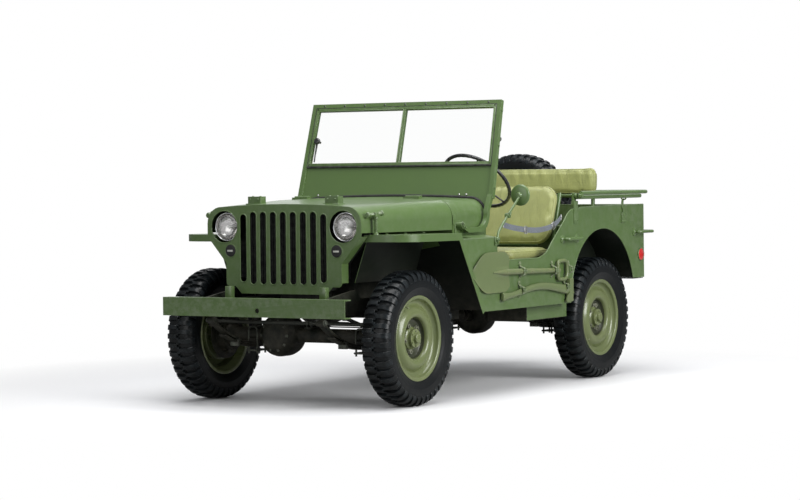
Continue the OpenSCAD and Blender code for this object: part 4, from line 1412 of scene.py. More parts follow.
@dataclass
class Tub(Assembly):
    """The open body: its panels, rolled edges, handles, bows and straps."""

    side_x: float = 0.72
    bead: float = 0.0045
    floor_z: float = 0.562
    handle_feet: tuple[tuple[float, float], ...] = ((0.388, 0.822), (0.562, 0.822), (1.29, 0.842))

    def side_edge(self) -> list[Point]:
        """The top edge of a side: along the belt, down the door opening and back up."""
        x = self.side_x - 0.0025
        curve = [(-0.736, 0.85), (-0.356, 0.85)]
        curve += arc((-0.298, 0.782), 0.058, 180, 270, 6)
        curve += arc((0.09, 0.944), 0.22, 270, 318, 8)
        curve += arc((0.548, 0.827), 0.164, 140, 96, 8)
        curve += [(0.64, 0.996), (0.904, 1.001), (1.413, 1.0035)]
        return [(x, y, z) for y, z in curve]

    def arch_edge(self) -> list[Point]:
        """The edge of the rear wheel's opening."""
        x = self.side_x - 0.0025
        return [(x, y, z) for y, z in arc((0.888, 0.474), 0.4, 13.6, 180.0, 40)]

    def beads(self) -> Piece:
        """Rolled beads along the body's free edges."""
        left = [tube("edge_bead", self.side_edge(), self.bead, sides=3), tube("arch_bead", self.arch_edge(), self.bead
            * 0.9, sides=3)]
        back = tube("rear_bead", [(-0.715, 1.4155, 1.0015), (0.715, 1.4155, 1.0015)], self.bead, sides=3)
        return join("body_beads", [both_sides("side_beads", join("left_beads", left)), back])

    def corner_braces(self) -> Piece:
        """Pressed ribs on the tub's floor."""
        pieces = []
        for i in range(5):
            y = 0.5 + i * 0.17
            pieces.append(block("floor_rib", (-0.46, y, self.floor_z - 0.001), (0.46, y + 0.03, self.floor_z + 0.005),
                0.003))
        for x in (-0.4, 0.4):
            pieces.append(block("toe_rib", (x - 0.02, -0.4, self.floor_z - 0.001),
                (x + 0.02, -0.05, self.floor_z + 0.005), 0.003))
        return join("floor_ribs", pieces)

    def panel_rivets(self) -> Piece:
        """Screws and rivets that show on the outside."""
        places = []
        for y, z in ((0.536, 0.925), (0.56, 0.925), (0.536, 0.985), (0.56, 0.985), (0.548, 1.02)):
            places.append(((self.side_x + 0.0052, y, z), (1, 0, 0)))
        for y, z in ((1.13, 0.912), (1.158, 0.912), (1.13, 0.946), (1.158, 0.946)):
            places.append(((self.side_x + 0.0062, y, z), (1, 0, 0)))
        for i in range(7):
            places.append(((self.side_x + 0.0002, -0.47 + 0.012 * i, 0.56 + 0.035 * i), (1, 0, 0)))
        return both_sides("panel_rivets", rivets("left_rivets", places, 0.0052))

    def handles(self) -> None:
        """Grab handles with their feet and bolts."""
        self.dress(panel("grab_handles", "grab_handle_bars", 0.0008))
        feet = [lathe("foot", [(0.0, 0.026), (0.004, 0.025), (0.008, 0.014), (0.012, 0.01)], (self.side_x, y, z),
            X_AXIS, 24) for y, z in self.handle_feet]
        heads = bolt_heads("foot_bolts", [((self.side_x + 0.004, y + dy, z), (1, 0, 0)) for y, z in self.handle_feet
            for dy in (-0.018, 0.018)], 0.004, 0.004)
        left = join("handle_feet_left", [*feet, heads])
        self.pair("handle_feet", left)

    def reflectors(self) -> None:
        """Red side and rear reflectors, and the tail lamps in their cans."""
        side, tail, back = ((self.side_x + 0.0006, 1.37, 0.706), (0.56, 1.4185, 0.76), (0.43, 1.4186, 0.64))
        lens = lathe("side_lens", flowing([(0.0, 0.0365), (0.004, 0.0365), (0.008, 0.03), (0.0105, 0.016),
            (0.0112, 0.0)], 3), side, X_AXIS, 40)
        ring = lathe("side_ring", [(0.0, 0.0385), (0.006, 0.0385), (0.0075, 0.0365), (0.0065, 0.035), (0.0, 0.035)],
            (self.side_x + 0.0004, *side[1:]), X_AXIS, 40)
        can = lathe("tail_can", flowing([(0.0, 0.012), (0.002, 0.028), (0.01, 0.0335), (0.04, 0.0335),
            (0.0425, 0.032), (0.0405, 0.029)], 3), tail, Y_AXIS, 40)
        glass = lathe("tail_glass", flowing([(0.038, 0.03), (0.042, 0.024), (0.044, 0.012), (0.0445, 0.0)], 3), tail,
            Y_AXIS, 40)
        red = lathe("back_lens", flowing([(0.0, 0.035), (0.004, 0.035), (0.008, 0.028), (0.0112, 0.0)], 3), back,
            Y_AXIS, 40)
        rim = lathe("back_ring", [(0.0, 0.0378), (0.006, 0.0378), (0.0072, 0.036), (0.006, 0.0345), (0.0, 0.0345)],
            back, Y_AXIS, 40)
        self.pair("side_reflectors", lens, Finish.RED, replaces=["lamps"])
        self.pair("side_reflector_rings", ring)
        self.pair("tail_lamp_cans", can)
        self.pair("tail_lamp_glasses", glass, Finish.RED)
        self.pair("rear_reflectors", red, Finish.RED)
        self.pair("rear_reflector_rings", rim)

    def bows(self) -> None:
        """The stowed top bows, with their pivot bolts."""
        for body in ("front_bow", "rear_bow"):
            self.dress(panel(body, body + "_tube", 0.001), body=body)
        pins = bolt_heads("bow_pins", [((0.7612, 0.548, 1.064), (1, 0, 0))], 0.011, 0.008)
        self.pair("bow_pivot_bolts", pins, body="front_bow")

    def bow_rests(self) -> Piece:
        """Curved arms that the bows lie on, behind the seat."""
        arm = strip("rest_arm", [(0.7235, 1.146, 0.93), (0.7235, 1.15, 0.972), (0.7235, 1.128, 1.0),
            (0.7235, 1.134, 1.03), (0.7235, 1.14, 1.04)], (0, 1, 0.2), 0.026, 0.004, 0.02)[0]
        cradle = tube("cradle", [(0.712, 1.14, 1.052), (0.714, 1.14, 1.038), (0.736, 1.14, 1.036),
            (0.744, 1.14, 1.044)], 0.0045, 0.008, sides=3)
        return both_sides("bow_rests", join("rest_left", [arm, cradle]))

    def build(self) -> None:
        """Finish the tub's panels and add what is on them."""
        for node, width in (("floor", 0.001), ("cowl", 0.002), ("body_side_left", 0.0015),
                ("body_side_right", 0.0015), ("rear_panel", 0.0015), ("dashboard", 0.0012), ("seat_frames", 0.001)):
            self.dress(panel(node, node + "_panel", width))
        houses = panel("wheel_houses", "wheel_houses_panel", 0.0012)
        # Wheel-house faces that look at the rear wheel are painted near black: painted shade.
        self.dress(cut_out(houses, "wheel_house_undersides", in_rear_arch), Finish.DARK)
        self.dress(houses)
        for piece in (self.beads(), self.corner_braces(), self.panel_rivets(), self.bow_rests()):
            self.dress(piece)
        self.handles()
        self.reflectors()
        self.bows()


@dataclass
class Nose(Assembly):
    """Grille, lamps, hood, fenders and bumper."""

    face_y: float = -1.337
    lamp: tuple[float, float] = (0.374, 0.93)
    marker: tuple[float, float] = (0.334, 0.805)
    slots: int = 9
    slot_pitch: float = 0.063
    slot_half: float = 0.021
    slot_ends: tuple[float, float] = (0.627, 1.01)
    short_by: float = 0.012

    def slot_lips(self) -> Piece:
        """Flared edges round the grille's slots."""
        lips = []
        for i in range(self.slots):
            step = i - (self.slots - 1) / 2
            cut = self.short_by if abs(step) == (self.slots - 1) / 2 else 0.0
            x, r = step * self.slot_pitch, self.slot_half + 0.001
            low, high = self.slot_ends[0] + cut + r, self.slot_ends[1] - cut - r
            ring = arc((x, high), r, 0, 180, 12) + arc((x, low), r, 180, 360, 12)
            path = [(u, self.face_y + 0.0005, v) for u, v in ring]
            lips.append(tube("lip", path, 0.0034, closed=True, sides=3))
        for x, z, r in ((self.lamp[0], self.lamp[1], 0.0855), (self.marker[0], self.marker[1], 0.034)):
            for side in SIDES:
                ring = arc((side * x, z), r, 0, 360, 48)[:-1]
                lips.append(tube("lamp_lip", [(u, self.face_y + 0.0005, v) for u, v in ring], 0.003, closed=True,
                    sides=3))
        return join("grille_lips", lips)

    def headlamp(self) -> None:
        """Both headlamps: can, bright ring, reflector, bulb and glass."""
        x, z = self.lamp
        face = self.face_y + 0.028
        can = lathe("lamp_can", flowing([(0.0, 0.0765), (0.01, 0.0775), (0.046, 0.076), (0.07, 0.062), (0.092, 0.034),
            (0.098, 0.0)], 3), (x, face, z), Y_AXIS, 64)
        ring = lathe("lamp_ring", flowing([(0.006, 0.0782), (-0.002, 0.078), (-0.0065, 0.075), (-0.0062, 0.0712),
            (-0.001, 0.07)], 4), (x, face, z), Y_AXIS, 72)
        dish = lathe("lamp_dish", flowing([(-0.001, 0.0705), (0.012, 0.064), (0.028, 0.048), (0.038, 0.028),
            (0.042, 0.01), (0.0425, 0.0)], 4), (x, face, z), Y_AXIS, 64)
        bulb = lathe("lamp_bulb", flowing([(0.042, 0.009), (0.03, 0.009), (0.022, 0.011), (0.014, 0.0085),
            (0.0115, 0.0)], 4), (x, face, z), Y_AXIS, 24)
        glass = lathe("lamp_glass", flowing([(-0.002, 0.0712), (-0.0075, 0.06), (-0.012, 0.04), (-0.014, 0.018),
            (-0.0145, 0.0)], 4), (x, face, z), Y_AXIS, 64)
        modify(glass, "SOLIDIFY", thickness=0.003, offset=1.0)
        self.pair("headlamp_cans", can, Finish.MATT_BLACK)
        self.pair("headlamp_rings", ring, Finish.CHROME)
        self.pair("headlamp_reflectors", modify(dish, "SOLIDIFY", thickness=0.001), Finish.REFLECTOR)
        self.pair("headlamp_bulbs", bulb, Finish.DIAL)
        self.pair("headlamp_glasses", glass, Finish.LENS)

    def markers(self) -> None:
        """Hooded marker lamps with a narrow pale slot."""
        x, z = self.marker
        shell = lathe("marker_shell", flowing([(0.03, 0.03), (0.0, 0.031), (-0.004, 0.03), (-0.006, 0.024),
            (-0.0068, 0.012), (-0.007, 0.0)], 3), (x, self.face_y, z), Y_AXIS, 40)
        bar = block("marker_slot", (x - 0.017, self.face_y - 0.009, z - 0.0055), (x + 0.017, self.face_y - 0.0058,
            z + 0.0055), 0.0014)
        lid = tube("marker_hood", [(x - 0.02, self.face_y - 0.0085, z + 0.006), (x + 0.02, self.face_y - 0.0085,
            z + 0.006)], 0.0022, sides=2)
        self.pair("marker_shells", shell, Finish.MATT_BLACK)
        self.pair("marker_slots", bar, Finish.DIAL)
        self.pair("marker_hoods", lid, Finish.MATT_BLACK)

    def cooling(self) -> None:
        """Radiator core with its fins and tubes."""
        low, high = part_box("radiator")
        self.dress(panel("radiator", "radiator_core", 0.002), Finish.MATT_BLACK)
        fins = [block("fin", (-0.258, -1.3005, z), (0.258, -1.2955, z + 0.0012))
            for z in (0.62 + 0.0095 * i for i in range(40))]
        tubes = [block("core_tube", (x, -1.3, low.z + 0.02), (x + 0.004, -1.2955, high.z - 0.01))
            for x in (-0.25 + 0.0131 * i for i in range(39))]
        self.dress(join("radiator_fins", fins + tubes), Finish.MATT_BLACK)
        outline = [(0.262, 0.66), (0.35, 0.66), (0.35, 0.742), (0.47, 0.88), (0.47, 0.955), (0.44, 0.99),
            (0.262, 1.005)]
        shroud = plate("shroud_plate", outline, "XZ", -1.232, -1.228)
        self.pair("radiator_shroud", shroud, Finish.MATT_BLACK)

    def hood_fittings(self) -> None:
        """The hood, the blocks on it and its hinge knuckles."""
        self.dress(panel("hood", "hood_panel", 0.003, 3), body="hood")
        screws = []
        for side in SIDES:
            for dx in (-0.03, 0.03):
                screws.append(((side * 0.244 + dx * 0.8, -1.221, 1.0882), (0, 0, 1)))
                screws.append(((side * 0.244 + dx * 0.8, -1.2465, 1.072), (0, -1, 0)))
        self.dress(rivets("hood_block_screws", screws, 0.006), body="hood")
        feet = [block("block_foot", (side * 0.244 - 0.05, -1.254, 1.038), (side * 0.244 + 0.05, -1.188, 1.0515),
            0.003) for side in SIDES]
        self.dress(join("hood_block_feet", feet), body="hood")
        knuckles = [drum("hinge_knuckle", (x, -0.621, 1.077), (x + 0.029, -0.621, 1.077), 0.0046, 16, 0.001)
            for side in SIDES for x in (side * 0.36 - 0.05 + 0.034 * i for i in range(3))]
        self.dress(join("hood_hinge_knuckles", knuckles), body="hood")

    def latches(self) -> None:
        """Sprung latches at the hood's front corners."""
        x, y = 0.522, -1.255
        stem = drum("latch_stem", (x, y, 0.888), (x, y, 0.992), 0.0075, 16, 0.001)
        foot = lathe("latch_foot", [(0.0, 0.0165), (0.004, 0.016), (0.008, 0.01), (0.014, 0.0085)], (x, y, 0.8885),
            Z_AXIS, 24)
        spring = tube("latch_spring", [(x + 0.0095 * cos(a), y + 0.0095 * sin(a), 0.906 + 0.0006 * i)
            for i, a in enumerate(radians(30 * k) for k in range(96))], 0.0016, sides=2)
        cap = drum("latch_cap", (x, y, 0.966), (x, y, 0.978), 0.013, 20, 0.002)
        head = block("latch_head", (x - 0.0125, y - 0.018, 0.976), (x + 0.0125, y + 0.018, 1.005), 0.005, 3)
        bar = tube("latch_bar", [(x - 0.02, y - 0.044, 0.99), (x, y, 0.994), (x + 0.012, y + 0.034, 0.998)], 0.0105,
            0.01, sides=3)
        grips = [lathe("latch_grip", flowing([(-0.009, 0.0), (-0.009, 0.012), (0.0, 0.015), (0.009, 0.012),
            (0.009, 0.0)], 3), spot, Y_AXIS, 20) for spot in ((x - 0.02, y - 0.044, 0.99),
            (x + 0.012, y + 0.036, 0.998))]
        left = join("latch_left", [stem, foot, spring, cap, head, bar, *grips])
        self.pair("hood_latch_set", left, replaces=["hood_latches"])
        hook = block("latch_keeper", (0.4915, -1.262, 0.968), (0.5075, -1.24, 0.984), 0.003)
        self.pair("hood_latch_keepers", hook, body="hood")

    def fenders(self) -> None:
        """Front fenders and their bolts."""
        fenders = panel("front_fenders", "front_fender_panels", 0.003, 3)
        # Fender faces that look into the wheel arch or the engine bay are painted near black: painted shade.
        self.dress(cut_out(fenders, "front_fender_undersides", under_fender), Finish.DARK)
        self.dress(fenders)
        heads = [((0.553, y, 0.8882), (0, 0, 1)) for y in (-1.2, -1.02, -0.84)]
        self.pair("fender_bolts", bolt_heads("fender_bolts_left", heads, 0.006, 0.005))

    def bumper(self) -> None:
        """Bumper channel and the blocks above it."""
        self.dress(panel("front_bumper", "front_bumper_channel", 0.004, 3))
        blocks = []
        for side in SIDES:
            x = side * 0.2965
            blocks.append(block("bumper_block", (x - 0.019, -1.42, 0.552), (x + 0.019, -1.384, 0.622), 0.003))
            blocks.append(block("bumper_block_foot", (x - 0.045, -1.44, 0.548), (x + 0.045, -1.364, 0.556), 0.002))
        self.dress(join("radiator_guard_blocks", blocks))

    def build(self) -> None:
        """Finish the nose and add its lamps and fittings."""
        self.dress(panel("grille", "grille_panel", 0.0015))
        self.dress(self.slot_lips())
        self.headlamp()
        self.markers()
        self.cooling()
        self.hood_fittings()
        self.latches()
        self.fenders()
        self.bumper()


@dataclass
class Windshield(Assembly):
    """The folding windshield with its glass, seals and fittings, in its own leaning plane."""

    foot: tuple[float, float] = (-0.25, 1.06)
    lean: float = 15.4
    height: float = 0.5591
    foot_half: float = 0.628
    top_half: float = 0.608
    panel_height: float = 0.186
    hinge: tuple[float, float] = (-0.572, 0.922)

    def plane(self) -> Matrix:
        """The matrix that leans a piece made upright at the windshield's foot."""
        return Matrix.Translation((0, *self.foot)) @ Matrix.Rotation(-radians(self.lean), 4, "X")

    def half(self, z: float) -> float:
        """Half the width at a height above the foot."""
        return self.foot_half + (self.top_half - self.foot_half) * z / self.height

    def hang(self, piece: Piece, finish: Finish = Finish.OLIVE) -> None:
        """Lean a piece that was made upright, finish it and hang it on the windshield."""
        piece.data.transform(self.plane())
        self.dress(piece, finish, "windshield")

    def glass_edges(self) -> None:
        """Rubber and steel beads round both panes."""
        low, high = self.panel_height + 0.024, self.height - 0.044
        rubber, steel = [], []
        for side in SIDES:
            ring = [(side * 0.011, low), (side * (self.half(low) - 0.034), low), (side * (self.half(high) - 0.034),
                high), (side * 0.011, high)]
            for y, radius, offset, batch in ((-0.0105, 0.0042, 0.004, steel), (-0.0035, 0.0022, -0.002, rubber),
                    (0.0085, 0.0035, 0.004, steel)):
                cx = sum(u for u, v in ring) / 4
                cz = (low + high) / 2
                path = [(u + copysign(offset, u - cx), y, v + copysign(offset, v - cz)) for u, v in ring]
                batch.append(tube("bead", [*path, path[0]], radius, 0.0, sides=3))
        self.hang(join("windshield_beads", steel))
        self.hang(join("windshield_rubber", rubber), Finish.MATT_BLACK)

    def inner_frame(self) -> None:
        """The opening glass frame, standing in front of the panel, with near-black tubes in the gap round it as
        painted shade.
        """
        low, high = self.panel_height + 0.006, self.height - 0.024
        bars = [block("frame_bar_low", (-self.half(low) + 0.017, -0.0135, low), (self.half(low) - 0.017, -0.008,
            low + 0.017), 0.002), block("frame_bar_high", (-self.half(high) + 0.017, -0.0135, high - 0.017),
            (self.half(high) - 0.017, -0.008, high), 0.002), block("divider", (-0.01, -0.0125, low),
            (0.01, -0.006, high), 0.003)]
        for side in SIDES:
            bars.append(plate("frame_post", [(side * (self.half(low) - 0.033), low), (side * (self.half(low) - 0.017),
                low), (side * (self.half(high) - 0.017), high), (side * (self.half(high) - 0.033), high)], "XZ",
                -0.0135, -0.008, 0.002))
        self.hang(join("glass_frame_bars", bars))
        # Near-black tubes in the gap round the frame and under its low bar stand for the shade there: painted shade.
        foot, head = self.half(low) - 0.015, self.half(high) - 0.015
        groove = tube("glass_frame_gap_shade", [(-foot, -0.01, low), (-head, -0.0112, high), (head, -0.0112, high),
            (foot, -0.01, low)], 0.0034, sides=2)
        sill_shade = tube("glass_frame_sill_shade", [(-foot, -0.0095, low - 0.005), (foot, -0.0095, low - 0.005)], 0.0052,
            sides=3)
        self.hang(join("glass_frame_shade_lines", [groove, sill_shade]), Finish.MATT_BLACK)

    def studs(self) -> None:
        """Fasteners along the top for the canvas, and screws on the panel."""
        top = [((x, -0.0128, self.height - 0.013), (0, -1, 0)) for x in (-0.54 + 0.135 * i for i in range(9))]
        self.hang(rivets("top_fasteners", top, 0.006), Finish.BLACK)
        low = [((x, -0.0092, 0.022), (0, -1, 0)) for x in (-0.505, 0.425, 0.47)]
        self.hang(rivets("panel_screws", low, 0.006), Finish.STEEL)
        bolts = []
        for side in SIDES:
            bolts += [((side * (self.half(z) + 0.0128), 0.0, z), (side, 0, 0)) for z in (0.06, 0.3, 0.5)]
        self.hang(bolt_heads("post_bolts", bolts, 0.007, 0.006))

    def wiper(self) -> None:
        """Hand wiper and the clamp knobs inside the posts."""
        x = -self.half(0.36) + 0.062
        knob = lathe("wiper_knob", flowing([(-0.034, 0.0), (-0.034, 0.014), (-0.026, 0.019), (-0.014, 0.016),
            (-0.006, 0.008), (0.01, 0.007)], 3), (x, 0.0, 0.338), Y_AXIS, 24)
        arm = tube("wiper_arm", [(x, -0.014, 0.338), (x - 0.004, -0.012, 0.29), (x - 0.01, -0.01, 0.235)], 0.003,
            0.02, sides=2)
        blade = block("wiper_blade", (x - 0.016, -0.0085, 0.218), (x - 0.008, -0.0045, 0.33), 0.001)
        self.hang(join("hand_wiper", [knob, arm, blade]), Finish.BLACK)
        knobs = []
        for side in SIDES:
            x_knob = side * (self.half(0.345) - 0.006)
            knobs.append(lathe("clamp_knob", flowing([(0.013, 0.005), (0.022, 0.006), (0.028, 0.014), (0.036, 0.014),
                (0.039, 0.0)], 3), (x_knob, 0.0, 0.345), Y_AXIS, 20))
        self.hang(join("clamp_knobs", knobs), Finish.BLACK)

    def hinge_fittings(self) -> None:
        """Hinge bolts, wing nuts and their brackets on the cowl."""
        y, z = self.hinge
        plates = block("hinge_plate", (0.5988, y - 0.03, z - 0.05), (0.6022, y + 0.026, z + 0.026), 0.001)
        post = block("hinge_ear", (0.599, y - 0.046, z + 0.004), (0.6022, y - 0.02, z + 0.056), 0.001)
        self.pair("windshield_hinge_plates", join("hinge_left", [plates, post]))
        bolt = bolt_heads("hinge_bolt", [((0.637, y, z), (1, 0, 0))], 0.013, 0.011)
        wing = tube("wing", [(0.646, y - 0.02, z + 0.018), (0.646, y, z), (0.646, y + 0.02, z - 0.018)], 0.004, 0.006,
            sides=2)
        self.pair("windshield_hinge_bolts", join("hinge_bolt_left", [bolt, wing]), body="windshield")

    def foot_seal(self) -> None:
        """Dark rubber strip that closes the gap between the windshield and the cowl."""
        top = [(x, -0.2655, z + 0.0045) for x, z in self.cowl_arch()]
        seal = tube("cowl_seal", top, 0.0085, sides=3)
        self.dress(seal, Finish.MATT_BLACK)

    def cowl_arch(self) -> list[tuple[float, float]]:
        """The cowl's rear edge in (x, z), from the driver's side to the other."""
        half, top, corner, crown = 0.598, 1.074, 0.096, 0.012
        reach = half - corner
        right = arc((reach, top - crown - corner), corner, 0, 80, 8)
        middle = [(reach * i / 6, top - crown * (i / 6) ** 2) for i in range(5, -6, -1)]
        left = arc((-reach, top - crown - corner), corner, 100, 180, 8)
        return [(half, 0.9), *right, *middle, *left, (-half, 0.9)]

    def build(self) -> None:
        """Finish the windshield and add what is on it."""
        self.dress(panel("windshield_frame", "windshield_frame_tube", 0.0045, 3), body="windshield")
        self.shop.repaint("windshield_glass", Finish.PANE)
        self.glass_edges()
        self.inner_frame()
        self.studs()
        self.wiper()
        self.hinge_fittings()
        self.foot_seal()


# ------------------------------------------------------------------ cabin


@dataclass
class Seats(Assembly):
    """Canvas seats: swollen by a short cloth simulation, then piped and put in place."""

    seat_x: float = 0.405
    voxel: float = 0.006
    pressure: float = 4.0
    frames: int = 20

    def swell(self, piece: Piece, cap: float) -> Piece:
        """Blow a closed shape up like a stuffed cover.

        Args:
            piece: The closed shape, slightly smaller than the cushion.
            cap: The farthest that a point may move.

        Returns:
            The swollen piece, with no simulation left on it.
        """
        modify(piece, "REMESH", mode="VOXEL", voxel_size=self.voxel)
        rest = [corner.co.copy() for corner in piece.data.vertices]
        pick(piece)
        modifier = piece.modifiers.new("Cloth", "CLOTH")
        settings = modifier.settings
        settings.quality = 5
        settings.mass = 0.3
        settings.tension_stiffness = 15
        settings.compression_stiffness = 15
        settings.bending_stiffness = 0.5
        settings.use_pressure = True
        settings.uniform_pressure_force = self.pressure
        settings.effector_weights.gravity = 0
        modifier.point_cache.frame_start = 1
        modifier.point_cache.frame_end = self.frames
        for frame in range(1, self.frames + 1):
            bpy.context.scene.frame_set(frame)
        bpy.ops.object.modifier_apply(modifier=modifier.name)
        bpy.context.scene.frame_set(1)
        for corner, start in zip(piece.data.vertices, rest):
            move = corner.co - start
            if move.length > cap:
                corner.co = start + move.normalized() * cap
        return piece

    def pad(self, name: str, size: Point, rounding: float, shrink: float = 0.01, cap: float = 0.011) -> Piece:
        """One stuffed pad, lying flat with its foot at z = 0.

        Args:
            name: The pad's name.
            size: Its full width, depth and thickness.
            rounding: Radius of its corners seen from above.
            shrink: How much smaller it starts on each side.
            cap: The farthest that a point may move as it swells.

        Returns:
            The pad.
        """
        outline = self.seen_from_above(size[0] / 2 - shrink, size[1] / 2 - shrink, rounding, 6)
        piece = plate(name, outline, "XY", shrink, size[2] - shrink, min(0.018, size[2] * 0.2))
        self.swell(piece, cap)
        modify(piece, "SMOOTH", factor=0.5, iterations=4)
        return self.fit(piece, size)

    def seen_from_above(self, w: float, d: float, r: float, count: int) -> Outline:
        """A rectangle with rounded corners, from its half width, half depth and radius."""
        return (arc((w - r, d - r), r, 0, 90, count) + arc((-w + r, d - r), r, 90, 180, count) + arc((-w + r, -d + r),
            r, 180, 270, count) + arc((w - r, -d + r), r, 270, 360, count))

    def fit(self, piece: Piece, size: Point) -> Piece:
        """Bring a swollen pad back to its full size, with its foot at z = 0."""
        places = [corner.co for corner in piece.data.vertices]
        low = Vector([min(place[i] for place in places) for i in range(3)])
        high = Vector([max(place[i] for place in places) for i in range(3)])
        piece.data.transform(Matrix.Diagonal((*(size[i] / (high[i] - low[i]) for i in range(3)), 1))
            @ Matrix.Translation((-(low.x + high.x) / 2, -(low.y + high.y) / 2, -low.z)))
        return piece

    def piping(self, name: str, pad: Piece, size: Point, rounding: float, height: float) -> Piece:
        """A corded seam that lies on a pad's edge near one height."""
        ring = self.seen_from_above(size[0] / 2, size[1] / 2, rounding, 8)
        bpy.context.view_layer.update()
        hits = [pad.closest_point_on_mesh(Vector((u, v, height)))[1:3] for u, v in self.refined(ring)]
        return tube(name, [place - 0.0012 * normal for place, normal in hits], 0.0036, closed=True, sides=3)

    def refined(self, ring: Outline, longest: float = 0.03) -> Outline:
        """Add points to a closed outline so that no step is long."""
        dense = []
        for (u0, v0), (u1, v1) in zip(ring, [*ring[1:], ring[0]]):
            count = max(1, ceil(hypot(u1 - u0, v1 - v0) / longest))
            dense += [(u0 + (u1 - u0) * i / count, v0 + (v1 - v0) * i / count) for i in range(count)]
        return dense

    def pucker(self, piece: Piece, line: float, span: float, depth: float, count: float) -> None:
        """Gather the canvas along a seam near a pad's far edge.

        Args:
            piece: The pad, lying flat.
            line: Where the seam is along Y.
            span: How far the gathers run from it.
            depth: How deep they are at the seam.
            count: How many there are in a metre.
        """
        for corner in piece.data.vertices:
            fade = max(0.0, 1 - abs(corner.co.y - line) / span)
            phase = corner.co.x * count * tau
            ripple = 0.6 * sin(phase) + 0.4 * sin(phase * 1.73 + 1.3)
            corner.co.z += depth * ripple * fade * fade * (1 if corner.co.z > 0 else -1)
            groove = exp(-((corner.co.y - line) / 0.006) ** 2)
            corner.co -= corner.normal * 0.003 * groove

    def finish(self, piece: Piece, seam: Piece, place: Matrix, name: str, replaces: str, pair: bool = False) -> None:
        """Put a pad and its piping in place, on one seat or on both.

        Args:
            piece: The pad.
            seam: Its piping.
            place: Where it goes on the driver's side.
            name: The stem of the pieces' names.
            replaces: The CAD node that it stands for.
            pair: Whether the passenger's seat has the same.
        """
        for part in (piece, seam):
            part.data.transform(place)
        sides = (("_left", None), ("_right", Matrix.Scale(-1, 4, X_AXIS))) if pair else (("", None),)
        for ending, flip in sides:
            cover = clone(piece, name + ending, flip)
            cord = clone(seam, name + "_piping" + ending, flip)
            smooth(cover, 60)
            self.dress(cover, Finish.CANVAS, CHASSIS, () if flip else [replaces])
            self.dress(cord, Finish.CANVAS)
        discard(piece)
        discard(seam)

    def build(self) -> None:
        """Make the six pads."""
        upright = Matrix.Rotation(radians(90), 4, "X")
        size = (0.466, 0.458, 0.072)
        pad = self.pad("front_cushion", size, 0.045)
        self.finish(pad, self.piping("cushion_piping", pad, size, 0.045, 0.06),
            Matrix.Translation((self.seat_x, 0.165, 0.706)), "front_seat_cushion", "front_seat_cushions", True)
        size = (0.466, 0.346, 0.06)
        pad = self.pad("front_back", size, 0.085)
        place = (Matrix.Translation((self.seat_x, 0.414, 0.782)) @ Matrix.Rotation(-radians(20), 4, "X") @ upright
            @ Matrix.Translation((0, 0.175, 0)))
        self.finish(pad, self.piping("back_piping", pad, size, 0.085, 0.052), place, "front_seat_back",
            "front_seat_backs", True)
        size = (0.976, 0.396, 0.082)
        pad = self.pad("rear_cushion_pad", size, 0.05)
        self.finish(pad, self.piping("rear_cushion_cord", pad, size, 0.05, 0.07),
            Matrix.Translation((0, 1.04, 0.776)), "rear_seat_cushion_pad", "rear_seat_cushion")
        size = (0.976, 0.156, 0.068)
        pad = self.pad("rear_back_pad", size, 0.045, cap=0.007)
        self.pucker(pad, 0.052, 0.075, 0.0042, 9.0)
        place = (Matrix.Translation((0, 1.284, 1.066)) @ Matrix.Rotation(-radians(3), 4, "X") @ upright
            @ Matrix.Translation((0, 0.079, 0)))
        self.finish(pad, self.piping("rear_back_cord", pad, size, 0.045, 0.06), place, "rear_seat_back_pad",
            "rear_seat_back")


